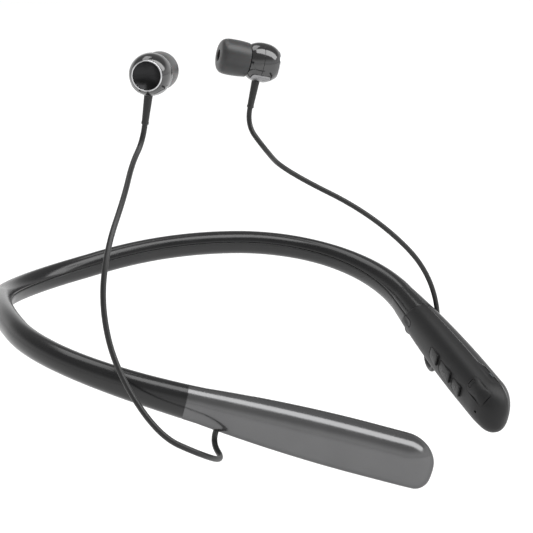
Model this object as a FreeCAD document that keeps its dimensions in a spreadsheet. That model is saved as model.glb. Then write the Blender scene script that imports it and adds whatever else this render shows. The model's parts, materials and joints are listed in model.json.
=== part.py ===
import FreeCAD, Part

# Neckband earphones: a flexible collar, two pods on its ends and two corded earbuds.
# Millimetres, +Z up, +Y the way the wearer faces, +X the wearer's right.
# The origin is the point of the band's neck strip that lies on the nape.
import math
import os

import Sketcher

from FreeCAD import Matrix, Placement, Rotation, Vector

DOC = FreeCAD.newDocument("NeckbandEarphones")
DIMS = {
    # collar route: three tangent arcs a side in plan, then the straight pod
    "nape_radius": 42.6,
    "nape_turn": 31.3,
    "flank_radius": 155.0,
    "flank_turn": 19.2,
    "shoulder_radius": 49.7,
    "shoulder_turn": 76.4,
    "rise_slope": 0.183,
    "rise_run": 27.9,
    "pod_slope": 0.304,
    # band section
    "band_half_width": 3.5,
    "band_half_height": 3.75,
    "band_wall": 1.2,
    "band_swell_run": 45.0,
    "strip_top_angle": 168.0,
    "strip_low_angle": 262.0,
    "spring_wire_radius": 0.6,
    "loom_radius": 0.7,
    "core_offset": 1.0,
    # pods
    "joint_half_width": 4.0,
    "joint_half_height": 5.0,
    "joint_lean": 11.0,
    "lean_run": 16.0,
    "pod_half_width": 6.0,
    "pod_half_height": 7.3,
    "pod_length": 67.0,
    "pod_swell_run": 48.0,
    "pod_boxiness": 0.3,
    "pod_wall": 1.1,
    "seam_offset": 1.6,
    "seam_jog": 1.5,
    "jog_start_setback": 19.0,
    "jog_full_setback": 16.5,
    "jog_fall_setback": 9.0,
    "jog_end_setback": 7.0,
    "tip_top_run": 9.5,
    "tip_top_drop": 8.3,
    "tip_low_radius": 4.3,
    "tip_side_run": 7.5,
    # controls on the left pod
    "key_setback": 36.8,
    "key_length": 6.0,
    "multi_key_length": 8.0,
    "key_gap": 0.8,
    "key_height": 4.0,
    "key_drop": 0.5,
    "key_clearance": 0.15,
    "key_travel": 0.35,
    "key_proud_low": -0.08,
    "key_proud_high": 0.85,
    "key_ramp_stop": 1.2,
    "key_end_round": 0.1,
    "flange_thickness": 0.6,
    "flange_overlap": 0.35,
    "flange_depth": 3.5,
    "stem_radius": 0.8,
    "stem_stretch": 0.3,
    "power_place": 12.5,
    "power_drop": -0.6,
    "power_length": 5.0,
    "power_width": 2.6,
    "power_face": 5.2,
    "power_flange_depth": 2.4,
    "power_flange_overlap": 0.3,
    "power_stem_radius": 0.8,
    # board and what is on it
    "board_start": 8.5,
    "board_setback": 13.0,
    "board_neck_end": 17.0,
    "board_neck_half": 3.0,
    "board_half": 4.3,
    "board_face": 0.4,
    "board_thickness": 0.8,
    "board_shoulder": 2.0,
    "switch_size": 3.0,
    "switch_height": 1.6,
    "switch_dome_height": 0.5,
    "post_radius": 1.1,
    "post_end": 5.1,
    "first_post_setback": 41.0,
    "second_post_setback": 21.9,
    "screw_radius": 0.65,
    "screw_bore_clearance": 0.05,
    "screw_bore_depth": 4.2,
    "screw_head_radius": 1.1,
    "screw_head_height": 0.5,
    "screw_reach": 3.4,
    "motor_radius": 3.0,
    "motor_height": 2.0,
    "motor_setback": 31.5,
    # charging port under its cover
    "port_setback": 8.6,
    "port_width": 7.5,
    "port_height": 2.9,
    "port_depth": 4.0,
    "port_floor": 0.35,
    "port_lean": 45.0,
    "port_clearance": 0.2,
    "cover_length": 10.4,
    "cover_width": 5.0,
    "cover_thickness": 1.0,
    "cover_clearance": 0.12,
    "cover_plug_depth": 1.4,
    "cover_plug_clearance": 0.5,
    "cover_notch_radius": 1.1,
    "strap_start": 4.1,
    "strap_foot": 4.55,
    "port_frame_depth": 1.65,
    "port_frame_wall": 1.2,
    "port_wall": 0.3,
    "port_tongue_gap": 1.05,
    "port_tongue_setback": 0.9,
    "port_back_wall": 0.6,
    # small openings
    "lamp_setback": 12.0,
    "lamp_length": 3.0,
    "lamp_width": 1.0,
    "lamp_offset": 2.1,
    "lamp_clearance": 0.1,
    "lamp_foot": 3.4,
    "mic_setback": 6.2,
    "mic_drop": 1.2,
    "mic_hole_radius": 0.45,
    "mic_radius": 1.1,
    "mic_height": 1.2,
    "mic_depth": 2.7,
    # battery in the right pod
    "cell_start": 22.0,
    "cell_setback": 12.0,
    "cell_half_height": 4.2,
    "cell_half_width": 2.4,
    "cell_round": 1.2,
    "pad_gap": 5.0,
    "pad_half_height": 2.0,
    "pad_thickness": 1.2,
    "guard_board_gap": 0.05,
    "guard_board_half": 3.4,
    # cords
    "cord_radius": 0.8,
    "cord_exit_place": 6.0,
    "cord_exit_offset": -0.3,
    "grommet_radius": 1.5,
    "grommet_length": 3.2,
    "grommet_proud": 0.5,
    "grommet_clearance": 0.05,
    # earbuds
    "bud_radius": 6.0,
    "bud_back_radius": 4.5,
    "bud_back_length": 4.6,
    "bud_front_length": 4.4,
    "bud_front_radius": 4.3,
    "bud_wall": 0.8,
    "bud_seam": 0.6,
    "bud_crown_radius": 5.5,
    "bud_back_step": 0.4,
    "bud_front_step": 0.6,
    "ring_width": 0.9,
    "ring_length": 0.9,
    "ring_crown_radius": 0.6,
    "ring_rim": 0.35,
    "dish_sag": 1.0,
    "dish_thickness": 0.6,
    "dish_curve_radius": 6.8,
    "dish_clearance": 0.05,
    "dish_setback": 0.3,
    "driver_radius": 4.6,
    "driver_length": 3.0,
    "nozzle_radius": 2.6,
    "nozzle_length": 4.6,
    "nozzle_bore": 1.9,
    "nozzle_lip": 0.15,
    "nozzle_lip_length": 0.8,
    "mesh_thickness": 0.3,
    "mesh_setback": 0.6,
    "mesh_clearance": 0.02,
    "tip_bore_clearance": 0.05,
    "tip_sleeve": 0.8,
    "tip_radius": 5.5,
    "tip_skin": 0.6,
    "tip_gap": 0.3,
    "tip_length": 9.4,
    "tip_mouth_radius": 2.1,
    "tip_mouth_length": 0.9,
    "tip_mouth_taper": 0.8,
    "tip_mouth_flare": 0.2,
    "tip_skirt_setback": 1.9,
    "tip_skirt_edge": 0.1,
    "tip_outer_curve": 7.6,
    "tip_inner_curve": 7.4,
    "saddle_thickness": 0.5,
    "saddle_length": 4.4,
    "saddle_half_width": 2.5,
    "saddle_clearance": 0.04,
    "collar_gap": 0.15,
    "collar_radius": 1.7,
    "collar_drop": 6.9,
    "boot_top_radius": 1.2,
    "boot_end_radius": 0.98,
    "boot_length": 7.4,
    "boot_chamfer": 0.35,
    "boot_lip": 0.06,
    "boot_lip_length": 0.5,
    "boot_lip_slope": 0.1,
}
SHEET = DOC.addObject("Spreadsheet::Sheet", "Dims")
for row, (alias, number) in enumerate(DIMS.items(), start=1):
    SHEET.set(f"A{row}", alias)
    SHEET.set(f"B{row}", str(number))
    SHEET.setAlias(f"B{row}", alias)
DOC.recompute()
PARTS = []


class Dim:
    """A length that carries its number and the sheet expression it comes from."""

    def __init__(self, value, text):
        self.value = float(value)
        self.text = text

    @staticmethod
    def of(other):
        return other if isinstance(other, Dim) else Dim(other, f"{other}")

    def _join(self, other, sign, value):
        return Dim(value, f"({self.text} {sign} {Dim.of(other).text})")

    def __add__(self, other):
        return self._join(other, "+", self.value + Dim.of(other).value)

    def __sub__(self, other):
        return self._join(other, "-", self.value - Dim.of(other).value)

    def __mul__(self, other):
        return self._join(other, "*", self.value * Dim.of(other).value)

    def __truediv__(self, other):
        return self._join(other, "/", self.value / Dim.of(other).value)

    def __neg__(self):
        return Dim(-self.value, f"(0 - {self.text})")

    def __radd__(self, other):
        return Dim.of(other) + self

    def __rsub__(self, other):
        return Dim.of(other) - self

    def __rmul__(self, other):
        return Dim.of(other) * self

    def __float__(self):
        return self.value


class Book:
    """The sheet's cells by name: BOOK.pod_length is a Dim."""

    def __getattr__(self, name):
        return Dim(SHEET.get(name), f"Dims.{name}")


BOOK = Book()


def val(name):
    """The number in a cell of the sheet."""
    return float(SHEET.get(name))


# ---------------------------------------------------------------- route
class Frame:
    """A place on the collar with its own three directions."""

    def __init__(self, point, along, outward, up):
        self.point = point
        self.along = along
        self.outward = outward
        self.up = up

    def at(self, along=0.0, outward=0.0, up=0.0):
        step = self.along * float(along) + self.outward * float(outward)
        return self.point + step + self.up * float(up)

    def placement(self):
        """X along the collar, Y outward, Z up: a rigid place on the left side only."""
        a, o, u, p = self.along, self.outward, self.up, self.point
        return Placement(
            Matrix(a.x, o.x, u.x, p.x, a.y, o.y, u.y, p.y, a.z, o.z, u.z, p.z, 0, 0, 0, 1)
        )


class Route:
    """The collar's centreline by the length run from the nape."""

    def __init__(self):
        self.arcs = [
            (val("nape_radius"), math.radians(val("nape_turn"))),
            (val("flank_radius"), math.radians(val("flank_turn"))),
            (val("shoulder_radius"), math.radians(val("shoulder_turn"))),
        ]
        self.length = sum(radius * turn for radius, turn in self.arcs)
        self.rise_run = val("rise_run")
        self.rise_slope = val("rise_slope")
        self.end_slope = -val("pod_slope")

    def ground(self, run):
        """Plan position and heading after a run along the arcs."""
        x, y, heading = 0.0, -val("band_half_width"), 0.0
        for radius, turn in self.arcs:
            part = min(run, radius * turn)
            ahead = heading + part / radius
            x += radius * (math.sin(ahead) - math.sin(heading))
            y += radius * (math.cos(heading) - math.cos(ahead))
            heading = ahead
            run -= part
        return x + run * math.cos(heading), y + run * math.sin(heading), heading

    def rise(self, run):
        """Height and slope: the band climbs off the nape, then falls to the chest."""
        start = min(run, self.rise_run)
        height = self.rise_slope * start * start / (2 * self.rise_run)
        slope = self.rise_slope * start / self.rise_run
        fall_run = self.length - self.rise_run
        part = min(max(run - self.rise_run, 0.0), fall_run)
        bend = (self.end_slope - self.rise_slope) / fall_run
        height += self.rise_slope * part + bend * part * part / 2
        slope += bend * part
        return height + slope * max(run - self.length, 0.0), slope

    def frame(self, run, side):
        """The frame after a run; side is 1 on the wearer's right and -1 on the left."""
        x, y, heading = self.ground(run)
        height, slope = self.rise(run)
        along = Vector(side * math.cos(heading), math.sin(heading), slope)
        along.normalize()
        outward = Vector(side * math.sin(heading), -math.cos(heading), 0)
        up = along.cross(outward) * -side
        return Frame(Vector(side * x, y, height), along, outward, up)


ROUTE = Route()
POD = ROUTE.frame(ROUTE.length, -1)
POD_PLACE = POD.placement()
PORT_SPOT = BOOK.pod_length - BOOK.port_setback
LAMP_SPOT = BOOK.pod_length - BOOK.lamp_setback
MIC_SPOT = BOOK.pod_length - BOOK.mic_setback
POSTS = (BOOK.pod_length - BOOK.first_post_setback, BOOK.pod_length - BOOK.second_post_setback)
MOTOR_SPOT = BOOK.pod_length - BOOK.motor_setback
BOARD_END = BOOK.pod_length - BOOK.board_setback
CELL_LENGTH = BOOK.pod_length - BOOK.cell_setback - BOOK.cell_start


# ---------------------------------------------------------------- sections
def ease(share):
    """Quick start, level end, from 0 to 1."""
    share = min(max(share, 0.0), 1.0)
    return share * (2 - share)


def rounded(share):
    """What is left of a quarter ellipse at a share of its run."""
    share = min(max(share, 0.0), 1.0)
    return math.sqrt(1 - share * share)


def lean_at(distance):
    """The forward lean of a section near the joint of band and pod, as a slope."""
    share = max(1 - distance / val("lean_run"), 0.0)
    return math.tan(math.radians(val("joint_lean"))) * share


class Section:
    """A rounded section: half width, top, bottom and how boxy it is."""

    def __init__(self, half_width, top, bottom, boxiness=0.0):
        self.half_width = half_width
        self.top = top
        self.bottom = bottom
        self.power = 2 / (2 + boxiness)

    def offset(self, angle):
        """Outward and up position at an angle from outward towards up."""
        c, s = math.cos(angle), math.sin(angle)
        out = math.copysign(abs(c) ** self.power, c) * self.half_width
        up = math.copysign(abs(s) ** self.power, s)
        return out, (self.top + self.bottom) / 2 + up * (self.top - self.bottom) / 2

    def point(self, frame, angle, lean=0.0, along=0.0):
        out, up = self.offset(angle)
        return frame.at(along + up * lean, out, up)

    def curve(self, frame, start, end, lean=0.0, along=0.0, steps=8):
        """A spline edge round part of the section."""
        angles = [start + (end - start) * index / steps for index in range(steps + 1)]
        spline = Part.BSplineCurve()
        spline.interpolate([self.point(frame, angle, lean, along) for angle in angles])
        return spline.toShape()

    def loop(self, frame, lean=0.0, along=0.0, count=20):
        """The closed spline wire of the whole section."""
        angles = [2 * math.pi * index / count for index in range(count)]
        spline = Part.BSplineCurve()
        points = [self.point(frame, angle, lean, along) for angle in angles]
        spline.interpolate(Points=points, PeriodicFlag=True)
        return Part.Wire([spline.toShape()])


def band_section(run, inset=0.0):
    """The band's section after a run, set in by a wall."""
    share = 1 - (ROUTE.length - run) / val("band_swell_run")
    swell = max(share, 0.0) ** 2
    width = val("band_half_width") + (val("joint_half_width") - val("band_half_width")) * swell
    height = val("band_half_height") + (val("joint_half_height") - val("band_half_height")) * swell
    return Section(width - inset, height - inset, inset - height)


def pod_section(place, inset=0.0):
    """The pod's section at a place along it, set in by a wall."""
    swell = ease(place / val("pod_swell_run"))
    width = val("joint_half_width") + (val("pod_half_width") - val("joint_half_width")) * swell
    height = val("joint_half_height") + (val("pod_half_height") - val("joint_half_height")) * swell
    end = val("pod_length") - inset
    top_run, low_run, side_run = (
        val(name) - inset for name in ("tip_top_run", "tip_low_radius", "tip_side_run")
    )
    drop = (val("tip_top_drop") - inset) * (1 - rounded((place - end + top_run) / top_run))
    lift = low_run * (1 - rounded((place - end + low_run) / low_run))
    side = rounded((place - end + side_run) / side_run)
    top, bottom = height - inset - drop, inset - height + lift
    return Section((width - inset) * side, top, bottom, val("pod_boxiness") * swell)


def pod_solid(inset=0.0, start=0.0):
    """The pod's outer form, or the space inside a wall of it."""
    end = val("pod_length") - inset
    body_end = end - val("tip_top_run") + inset
    places = [start] + [body_end * share for share in (0.12, 0.26, 0.42, 0.6, 0.8)]
    for degrees in (4, 24, 42, 57, 69, 78, 84):
        places.append(body_end + (end - body_end) * math.sin(math.radians(degrees)))
    loops = []
    for place in places:
        section = pod_section(max(place, 0.0), inset)
        loops.append(section.loop(POD, lean_at(max(place, 0.0)), place))
    return Part.makeLoft(loops, True, False)


# ---------------------------------------------------------------- bench
def publish(item, label):
    """Name a finished piece and put it on the list of parts."""
    item.Label = label
    PARTS.append(item)
    return item


def bind(item, **sizes):
    """Tie a feature's sizes to cells of the sheet."""
    for prop, size in sizes.items():
        item.setExpression(prop, Dim.of(size).text)


def fixed(name, shape):
    """A free-form shape as a document object."""
    item = DOC.addObject("Part::Feature", name)
    item.Shape = shape
    return item


def block(name, place, corner, size):
    item = DOC.addObject("Part::Box", name)
    bind(item, Length=size[0], Width=size[1], Height=size[2])
    item.Placement = place.multiply(Placement(Vector(*map(float, corner)), Rotation()))
    return item


def rod(name, place, start, direction, radius, length):
    item = DOC.addObject("Part::Cylinder", name)
    bind(item, Radius=radius, Height=length)
    turn = Rotation(Vector(0, 0, 1), Vector(*direction))
    item.Placement = place.multiply(Placement(Vector(*map(float, start)), turn))
    return item


def joined(name, items):
    item = DOC.addObject("Part::MultiFuse", name)
    item.Shapes = list(items)
    item.Refine = False
    return item


def cut(name, base, tools):
    item = DOC.addObject("Part::Cut", name)
    item.Base = base
    item.Tool = tools[0] if len(tools) == 1 else joined(f"{name}_tools", tools)
    item.Refine = False
    return item


def shared(name, first, second):
    item = DOC.addObject("Part::Common", name)
    item.Base = first
    item.Tool = second
    return item


def mirrored(name, source):
    """The same piece on the wearer's right."""
    item = DOC.addObject("Part::Mirroring", name)
    item.Source = source
    item.Base = Vector(0, 0, 0)
    item.Normal = Vector(1, 0, 0)
    return item


# ---------------------------------------------------------------- sketched bodies
def sketch_on(body, role, corners, start=0.0):
    """A closed sketch on a plane of the body, every corner tied to the sheet.

    A corner is (across, up) or (across, up, radius). A radius bends the line to the
    next corner: to the right of it when positive, to the left when negative.
    """
    sketch = body.newObject("Sketcher::SketchObject", f"{body.Name}_outline")
    plane = next(item for item in body.Origin.OriginFeatures if item.Role == role)
    sketch.AttachmentSupport = (plane, [""])
    sketch.MapMode = "FlatFace"
    sketch.AttachmentOffset = Placement(Vector(0, 0, float(start)), Rotation())
    spots = [Vector(float(corner[0]), float(corner[1]), 0) for corner in corners]
    ends = []
    for index, corner in enumerate(corners):
        first, last = spots[index], spots[(index + 1) % len(spots)]
        bend = float(corner[2]) if len(corner) == 3 else 0.0
        if not bend:
            sketch.addGeometry(Part.LineSegment(first, last), False)
            ends.append((1, 2))
            continue
        half = (last - first) * 0.5
        sag = abs(bend) - math.sqrt(max(bend * bend - half.Length**2, 0.0))
        side = Vector(half.y, -half.x, 0).normalize() * math.copysign(sag, bend)
        middle = first + half + side
        arc = Part.Arc(first, middle, last) if bend > 0 else Part.Arc(last, middle, first)
        sketch.addGeometry(arc, False)
        ends.append((1, 2) if bend > 0 else (2, 1))
    for index, corner in enumerate(corners):
        after = (index + 1) % len(corners)
        join = Sketcher.Constraint("Coincident", index, ends[index][1], after, ends[after][0])
        sketch.addConstraint(join)
        own = ends[index][0]
        for kind, axis, size in (("DistanceX", -2, corner[0]), ("DistanceY", -1, corner[1])):
            if float(size) == 0:
                sketch.addConstraint(Sketcher.Constraint("PointOnObject", index, own, axis))
                continue
            held = Sketcher.Constraint(kind, -1, 1, index, own, float(size))
            number = sketch.addConstraint(held)
            sketch.setExpression(f"Constraints[{number}]", Dim.of(size).text)
        if len(corner) == 3:
            size = Dim.of(corner[2])
            size = size if size.value > 0 else -size
            chord = (spots[after] - spots[index]).Length
            if abs(chord - 2 * size.value) < 1e-6:
                size = Dim.of(corner[0])
                held = Sketcher.Constraint("DistanceX", -1, 1, index, 3, size.value)
                if not size.value:
                    held = Sketcher.Constraint("PointOnObject", index, 3, -2)
            else:
                held = Sketcher.Constraint("Radius", index, size.value)
            number = sketch.addConstraint(held)
            if size.value:
                sketch.setExpression(f"Constraints[{number}]", size.text)
    return sketch


def body_at(name, place):
    body = DOC.addObject("PartDesign::Body", name)
    body.Placement = place
    return body


def pad(body, role, corners, length, start=0.0, midplane=False):
    """Add a straight pad of an outline to the body."""
    sketch = sketch_on(body, role, corners, start)
    feature = body.newObject("PartDesign::Pad", f"{body.Name}_pad")
    feature.Profile = sketch
    bind(feature, Length=length)
    feature.Midplane = midplane
    return feature


def turned(body, corners, axis="H_Axis"):
    """Add a turned form: the outline spun about a sketch axis."""
    sketch = sketch_on(body, "XZ_Plane", corners)
    feature = body.newObject("PartDesign::Revolution", f"{body.Name}_turn")
    feature.Profile = sketch
    feature.ReferenceAxis = (sketch, [axis])
    feature.Angle = 360
    return feature


def stadium(middle_x, middle_y, half_length, radius):
    """Corners of a long round-ended outline."""
    left, right = middle_x - half_length + radius, middle_x + half_length - radius
    low, high = middle_y - radius, middle_y + radius
    return [(left, low), (right, low, radius), (right, high), (left, high, radius)]


def rounded_box(half_width, half_height, radius):
    """Corners of a rectangle with rounded corners about the origin."""
    w, h, r = half_width, half_height, radius
    return [
        (w, r - h), (w, h - r, r), (w - r, h), (r - w, h, r),
        (-w, h - r), (-w, r - h, r), (r - w, -h), (w - r, -h, r),
    ]


# ---------------------------------------------------------------- collar band
def sector(run, side, start, end):
    """The ring-sector wire of one strip of the band at a station."""
    frame = ROUTE.frame(run, side)
    lean = lean_at(ROUTE.length - run)
    outer, inner = band_section(run), band_section(run, val("band_wall"))
    edges = [outer.curve(frame, start, end, lean), inner.curve(frame, start, end, lean)]
    lines = [
        Part.LineSegment(outer.point(frame, angle, lean), inner.point(frame, angle, lean)).toShape()
        for angle in (start, end)
    ]
    return Part.Wire([edges[0], lines[1], edges[1], lines[0]])


def stations():
    """Runs and sides from the left end of the band to the right end."""
    steps = 13
    runs = [ROUTE.length * (1 - (1 - index / steps) ** 1.15) for index in range(steps + 1)]
    return [(run, -1) for run in reversed(runs)] + [(run, 1) for run in runs[1:]]


def band_strip(start, end):
    """One of the two moulded strips that make the hollow band."""
    low, high = math.radians(start), math.radians(end)
    return Part.makeLoft([sector(run, side, low, high) for run, side in stations()], True, False)


def core(radius, lift):
    """A round core laid along the whole channel of the band, into both pods."""
    wires = []
    for run, side in stations():
        frame = ROUTE.frame(run, side)
        circle = Part.Circle(frame.at(0, 0, lift), frame.along * side, radius)
        wires.append(Part.Wire([circle.toShape()]))
    return Part.makeLoft(wires, True, False)


STRIP_TOP, STRIP_LOW = val("strip_top_angle"), val("strip_low_angle")
publish(fixed("CoverLoft", band_strip(STRIP_LOW, STRIP_TOP + 360)), "band_cover")
publish(fixed("StripLoft", band_strip(STRIP_TOP, STRIP_LOW)), "neck_strip")
publish(fixed("SpringLoft", core(val("spring_wire_radius"), val("core_offset"))), "spring_wire")
publish(fixed("LoomLoft", core(val("loom_radius"), -val("core_offset"))), "band_loom")


# ---------------------------------------------------------------- pod shells
def seam_prism(jog):
    """The space on the outer side of the pod's parting line; jog steps it outward."""
    seam, tip = val("seam_offset"), val("pod_length")
    near, far, side, reach = -5, tip + 5, 20, 12
    path = [
        (near, 0),
        (tip - val("jog_start_setback"), 0),
        (tip - val("jog_full_setback"), jog),
        (tip - val("jog_fall_setback"), jog),
        (tip - val("jog_end_setback"), jog / 2),
        (far, jog / 2),
    ]
    corners = [Vector(x, seam + y, -reach) for x, y in path]
    corners += [Vector(far, side, -reach), Vector(near, side, -reach)]
    face = Part.Face(Part.makePolygon(corners + corners[:1]))
    prism = face.extrude(Vector(0, 0, 2 * reach))
    prism.Placement = POD_PLACE
    return prism


FORM = pod_solid()
HOLLOW = FORM.cut(pod_solid(val("pod_wall"), -2.0))
SPLIT_LEFT, SPLIT_RIGHT = seam_prism(val("seam_jog")), seam_prism(0.0)
PORT_PLACE = POD_PLACE.multiply(
    Placement(Vector(float(PORT_SPOT), 0, 0), Rotation(Vector(1, 0, 0), val("port_lean")))
)
GROMMET_FOOT = pod_section(val("cord_exit_place")).bottom - val("grommet_proud")


def grommet_rod(name, clearance=0, below=0):
    """The grommet, or with a clearance and a reach below it the hole that it sits in."""
    start = (BOOK.cord_exit_place, BOOK.cord_exit_offset, GROMMET_FOOT - below)
    length = BOOK.grommet_length + below
    return rod(name, POD_PLACE, start, (0, 0, 1), BOOK.grommet_radius + clearance, length)


def grommet_hole(name):
    return grommet_rod(name, BOOK.grommet_clearance, 3)


def cover_prism(clearance):
    """The round-ended column over the port, in the shape of its cover."""
    half, radius = val("cover_length") / 2 + clearance, val("cover_width") / 2 + clearance
    box = Part.makeBox(2 * (half - radius), 2 * radius, 9, Vector(radius - half, -radius, 2))
    ends = [
        Part.makeCylinder(radius, 9, Vector(sign * (half - radius), 0, 2)) for sign in (-1, 1)
    ]
    column = box.fuse(ends).removeSplitter()
    column.Placement = PORT_PLACE
    return column


def port_box(name, grow, low, high):
    """A box round the connector, standing along the port's own direction."""
    corner = (-BOOK.port_width / 2 - grow, -BOOK.port_height / 2 - grow, low)
    size = (BOOK.port_width + grow * 2, BOOK.port_height + grow * 2, high - low)
    return block(name, PORT_PLACE, corner, size)


PORT_TOP = BOOK.port_floor + BOOK.port_depth
ROOM = pod_solid(0.3)
port_frame = shared(
    "PortFrame",
    port_box("PortFrameBox", BOOK.port_frame_wall, PORT_TOP - BOOK.port_frame_depth, Dim.of(9)),
    fixed("PodRoom", ROOM),
)
KEYS = []
place = BOOK.pod_length - BOOK.key_setback
for name, length, lift in (
    ("volume_down_key", BOOK.key_length, 1),
    ("multi_key", BOOK.multi_key_length, 0),
    ("volume_up_key", BOOK.key_length, -1),
):
    KEYS.append((name, place, length, BOOK.key_drop * lift))
    place = place + length + BOOK.key_gap

inner_tools = [
    block(
        f"{name}_opening",
        POD_PLACE,
        (start, -10, lift - BOOK.key_height / 2),
        (length, 7, BOOK.key_height),
    )
    for name, start, length, lift in KEYS
]
power_hole = body_at("power_opening", POD_PLACE)
pad(
    power_hole,
    "XZ_Plane",
    stadium(BOOK.power_place, BOOK.power_drop, BOOK.power_length / 2, BOOK.power_width / 2),
    Dim.of(6),
    2.0,
)
mic_start = (MIC_SPOT, -10, -BOOK.mic_drop)
inner_tools += [
    power_hole,
    grommet_hole("grommet_hole"),
    rod("mic_hole", POD_PLACE, mic_start, (0, 1, 0), BOOK.mic_hole_radius, Dim.of(7)),
    block(
        "lamp_slot",
        POD_PLACE,
        (
            LAMP_SPOT - BOOK.lamp_length / 2 - BOOK.lamp_clearance,
            BOOK.lamp_offset - BOOK.lamp_width / 2 - BOOK.lamp_clearance,
            4,
        ),
        (
            BOOK.lamp_length + BOOK.lamp_clearance * 2,
            BOOK.lamp_width + BOOK.lamp_clearance * 2,
            5,
        ),
    ),
    port_box("port_slot", BOOK.port_clearance, BOOK.port_floor - 0.3, Dim.of(9)),
    fixed(
        "cover_recess",
        cover_prism(val("cover_clearance")).cut(pod_solid(val("cover_thickness") + 0.12)),
    ),
]
inner_left = joined("InnerLeftWalls", [fixed("InnerLeftLoft", HOLLOW.cut(SPLIT_LEFT)), port_frame])
publish(cut("InnerLeft", inner_left, inner_tools), "pod_inner_left")

posts = [
    rod(
        f"post_{index}",
        POD_PLACE,
        (spot, BOOK.board_face + BOOK.board_thickness, 0),
        (0, 1, 0),
        BOOK.post_radius,
        BOOK.post_end - BOOK.board_face - BOOK.board_thickness,
    )
    for index, spot in enumerate(POSTS)
]


def screw_bore(name, spot, clearance, depth):
    radius = BOOK.screw_radius + clearance
    return rod(name, POD_PLACE, (spot, 0, 0), (0, 1, 0), radius, depth)


bores = [
    screw_bore(f"post_bore_{index}", spot, BOOK.screw_bore_clearance, BOOK.screw_bore_depth)
    for index, spot in enumerate(POSTS)
]
outer_left = joined("OuterLeftWalls", [fixed("OuterLeftLoft", HOLLOW.common(SPLIT_LEFT)), *posts])
publish(cut("OuterLeft", outer_left, bores), "pod_outer_left")
plain_inner = cut(
    "PlainInner",
    fixed("PlainInnerLoft", HOLLOW.cut(SPLIT_RIGHT)),
    [grommet_hole("plain_grommet_hole")],
)
publish(mirrored("InnerRight", plain_inner), "pod_inner_right")
plain_outer = fixed("PlainOuterLoft", HOLLOW.common(SPLIT_RIGHT))
publish(mirrored("OuterRight", plain_outer), "pod_outer_right")

# ---------------------------------------------------------------- controls
SWITCH_TOP = BOOK.board_face - BOOK.switch_height
STEM_END = BOOK.key_travel + 0.1 - SWITCH_TOP
WELD = 0.2


def key(name, start, length, lift):
    """A ramped key: flush at its band end, proud at its tip end, with a flange and stem."""
    low, high = start + BOOK.key_clearance, start + length - BOOK.key_clearance
    brim, reach = BOOK.flange_depth + BOOK.flange_thickness, BOOK.flange_overlap
    crest = BOOK.pod_half_width + BOOK.key_proud_high
    corners = [
        (low - reach, -brim),
        (low, -brim),
        (low, -(BOOK.pod_half_width + BOOK.key_proud_low)),
        (high - BOOK.key_ramp_stop, -crest),
        (high, -(crest - BOOK.key_end_round)),
        (high, -brim),
        (high + reach, -brim),
        (high + reach, -BOOK.flange_depth),
        (low - reach, -BOOK.flange_depth),
    ]
    spot = POD_PLACE.multiply(Placement(Vector(0, 0, float(lift)), Rotation()))
    body = body_at(f"{name}_body", spot)
    height = BOOK.key_height - BOOK.key_clearance * 2
    pad(body, "XY_Plane", corners, height, 0.0, True)
    middle = (low + high) / 2
    stem = stadium(middle, Dim.of(0), BOOK.stem_radius + BOOK.stem_stretch, BOOK.stem_radius)
    pad(body, "XZ_Plane", stem, BOOK.flange_depth + WELD - STEM_END, float(STEM_END))
    return publish(body, name)


for name, start, length, lift in KEYS:
    key(name, start, length, lift)

power = body_at("power_body", POD_PLACE)
power_half, power_radius = BOOK.power_length / 2, BOOK.power_width / 2
power_brim = BOOK.power_flange_depth + BOOK.flange_thickness
for grow, foot, top in (
    (-BOOK.key_clearance, BOOK.power_flange_depth, BOOK.power_face),
    (BOOK.power_flange_overlap, BOOK.power_flange_depth, power_brim),
    (BOOK.power_stem_radius - power_radius, STEM_END, BOOK.power_flange_depth + WELD),
):
    ring = stadium(BOOK.power_place, BOOK.power_drop, power_half + grow, power_radius + grow)
    pad(power, "XZ_Plane", ring, top - foot, float(foot))
publish(power, "power_button")

# ---------------------------------------------------------------- board and what it carries
board = body_at("board_body", POD_PLACE)
board_corners = [
    (BOOK.board_start, -BOOK.board_neck_half),
    (BOOK.board_neck_end, -BOOK.board_neck_half),
    (BOOK.board_neck_end + BOOK.board_shoulder, -BOOK.board_half),
    (BOARD_END, -BOOK.board_half),
    (BOARD_END, BOOK.board_half),
    (BOOK.board_neck_end + BOOK.board_shoulder, BOOK.board_half),
    (BOOK.board_neck_end, BOOK.board_neck_half),
    (BOOK.board_start, BOOK.board_neck_half),
]
board_back = BOOK.board_face + BOOK.board_thickness
pad(board, "XZ_Plane", board_corners, BOOK.board_thickness, -float(board_back))
board_holes = [
    screw_bore(f"board_hole_{index}", spot, BOOK.screw_bore_clearance * 2, BOOK.board_thickness * 2)
    for index, spot in enumerate(POSTS)
]
publish(cut("Board", board, board_holes), "main_board")

screws = []
for index, spot in enumerate(POSTS):
    head_foot = BOOK.board_face - BOOK.screw_head_height
    screws += [
        rod(
            f"screw_head_{index}",
            POD_PLACE,
            (spot, head_foot, 0),
            (0, 1, 0),
            BOOK.screw_head_radius,
            BOOK.screw_head_height,
        ),
        rod(
            f"screw_shank_{index}",
            POD_PLACE,
            (spot, head_foot, 0),
            (0, 1, 0),
            BOOK.screw_radius,
            BOOK.screw_reach + BOOK.screw_head_height,
        ),
    ]
publish(joined("Screws", screws), "board_screws")

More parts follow.
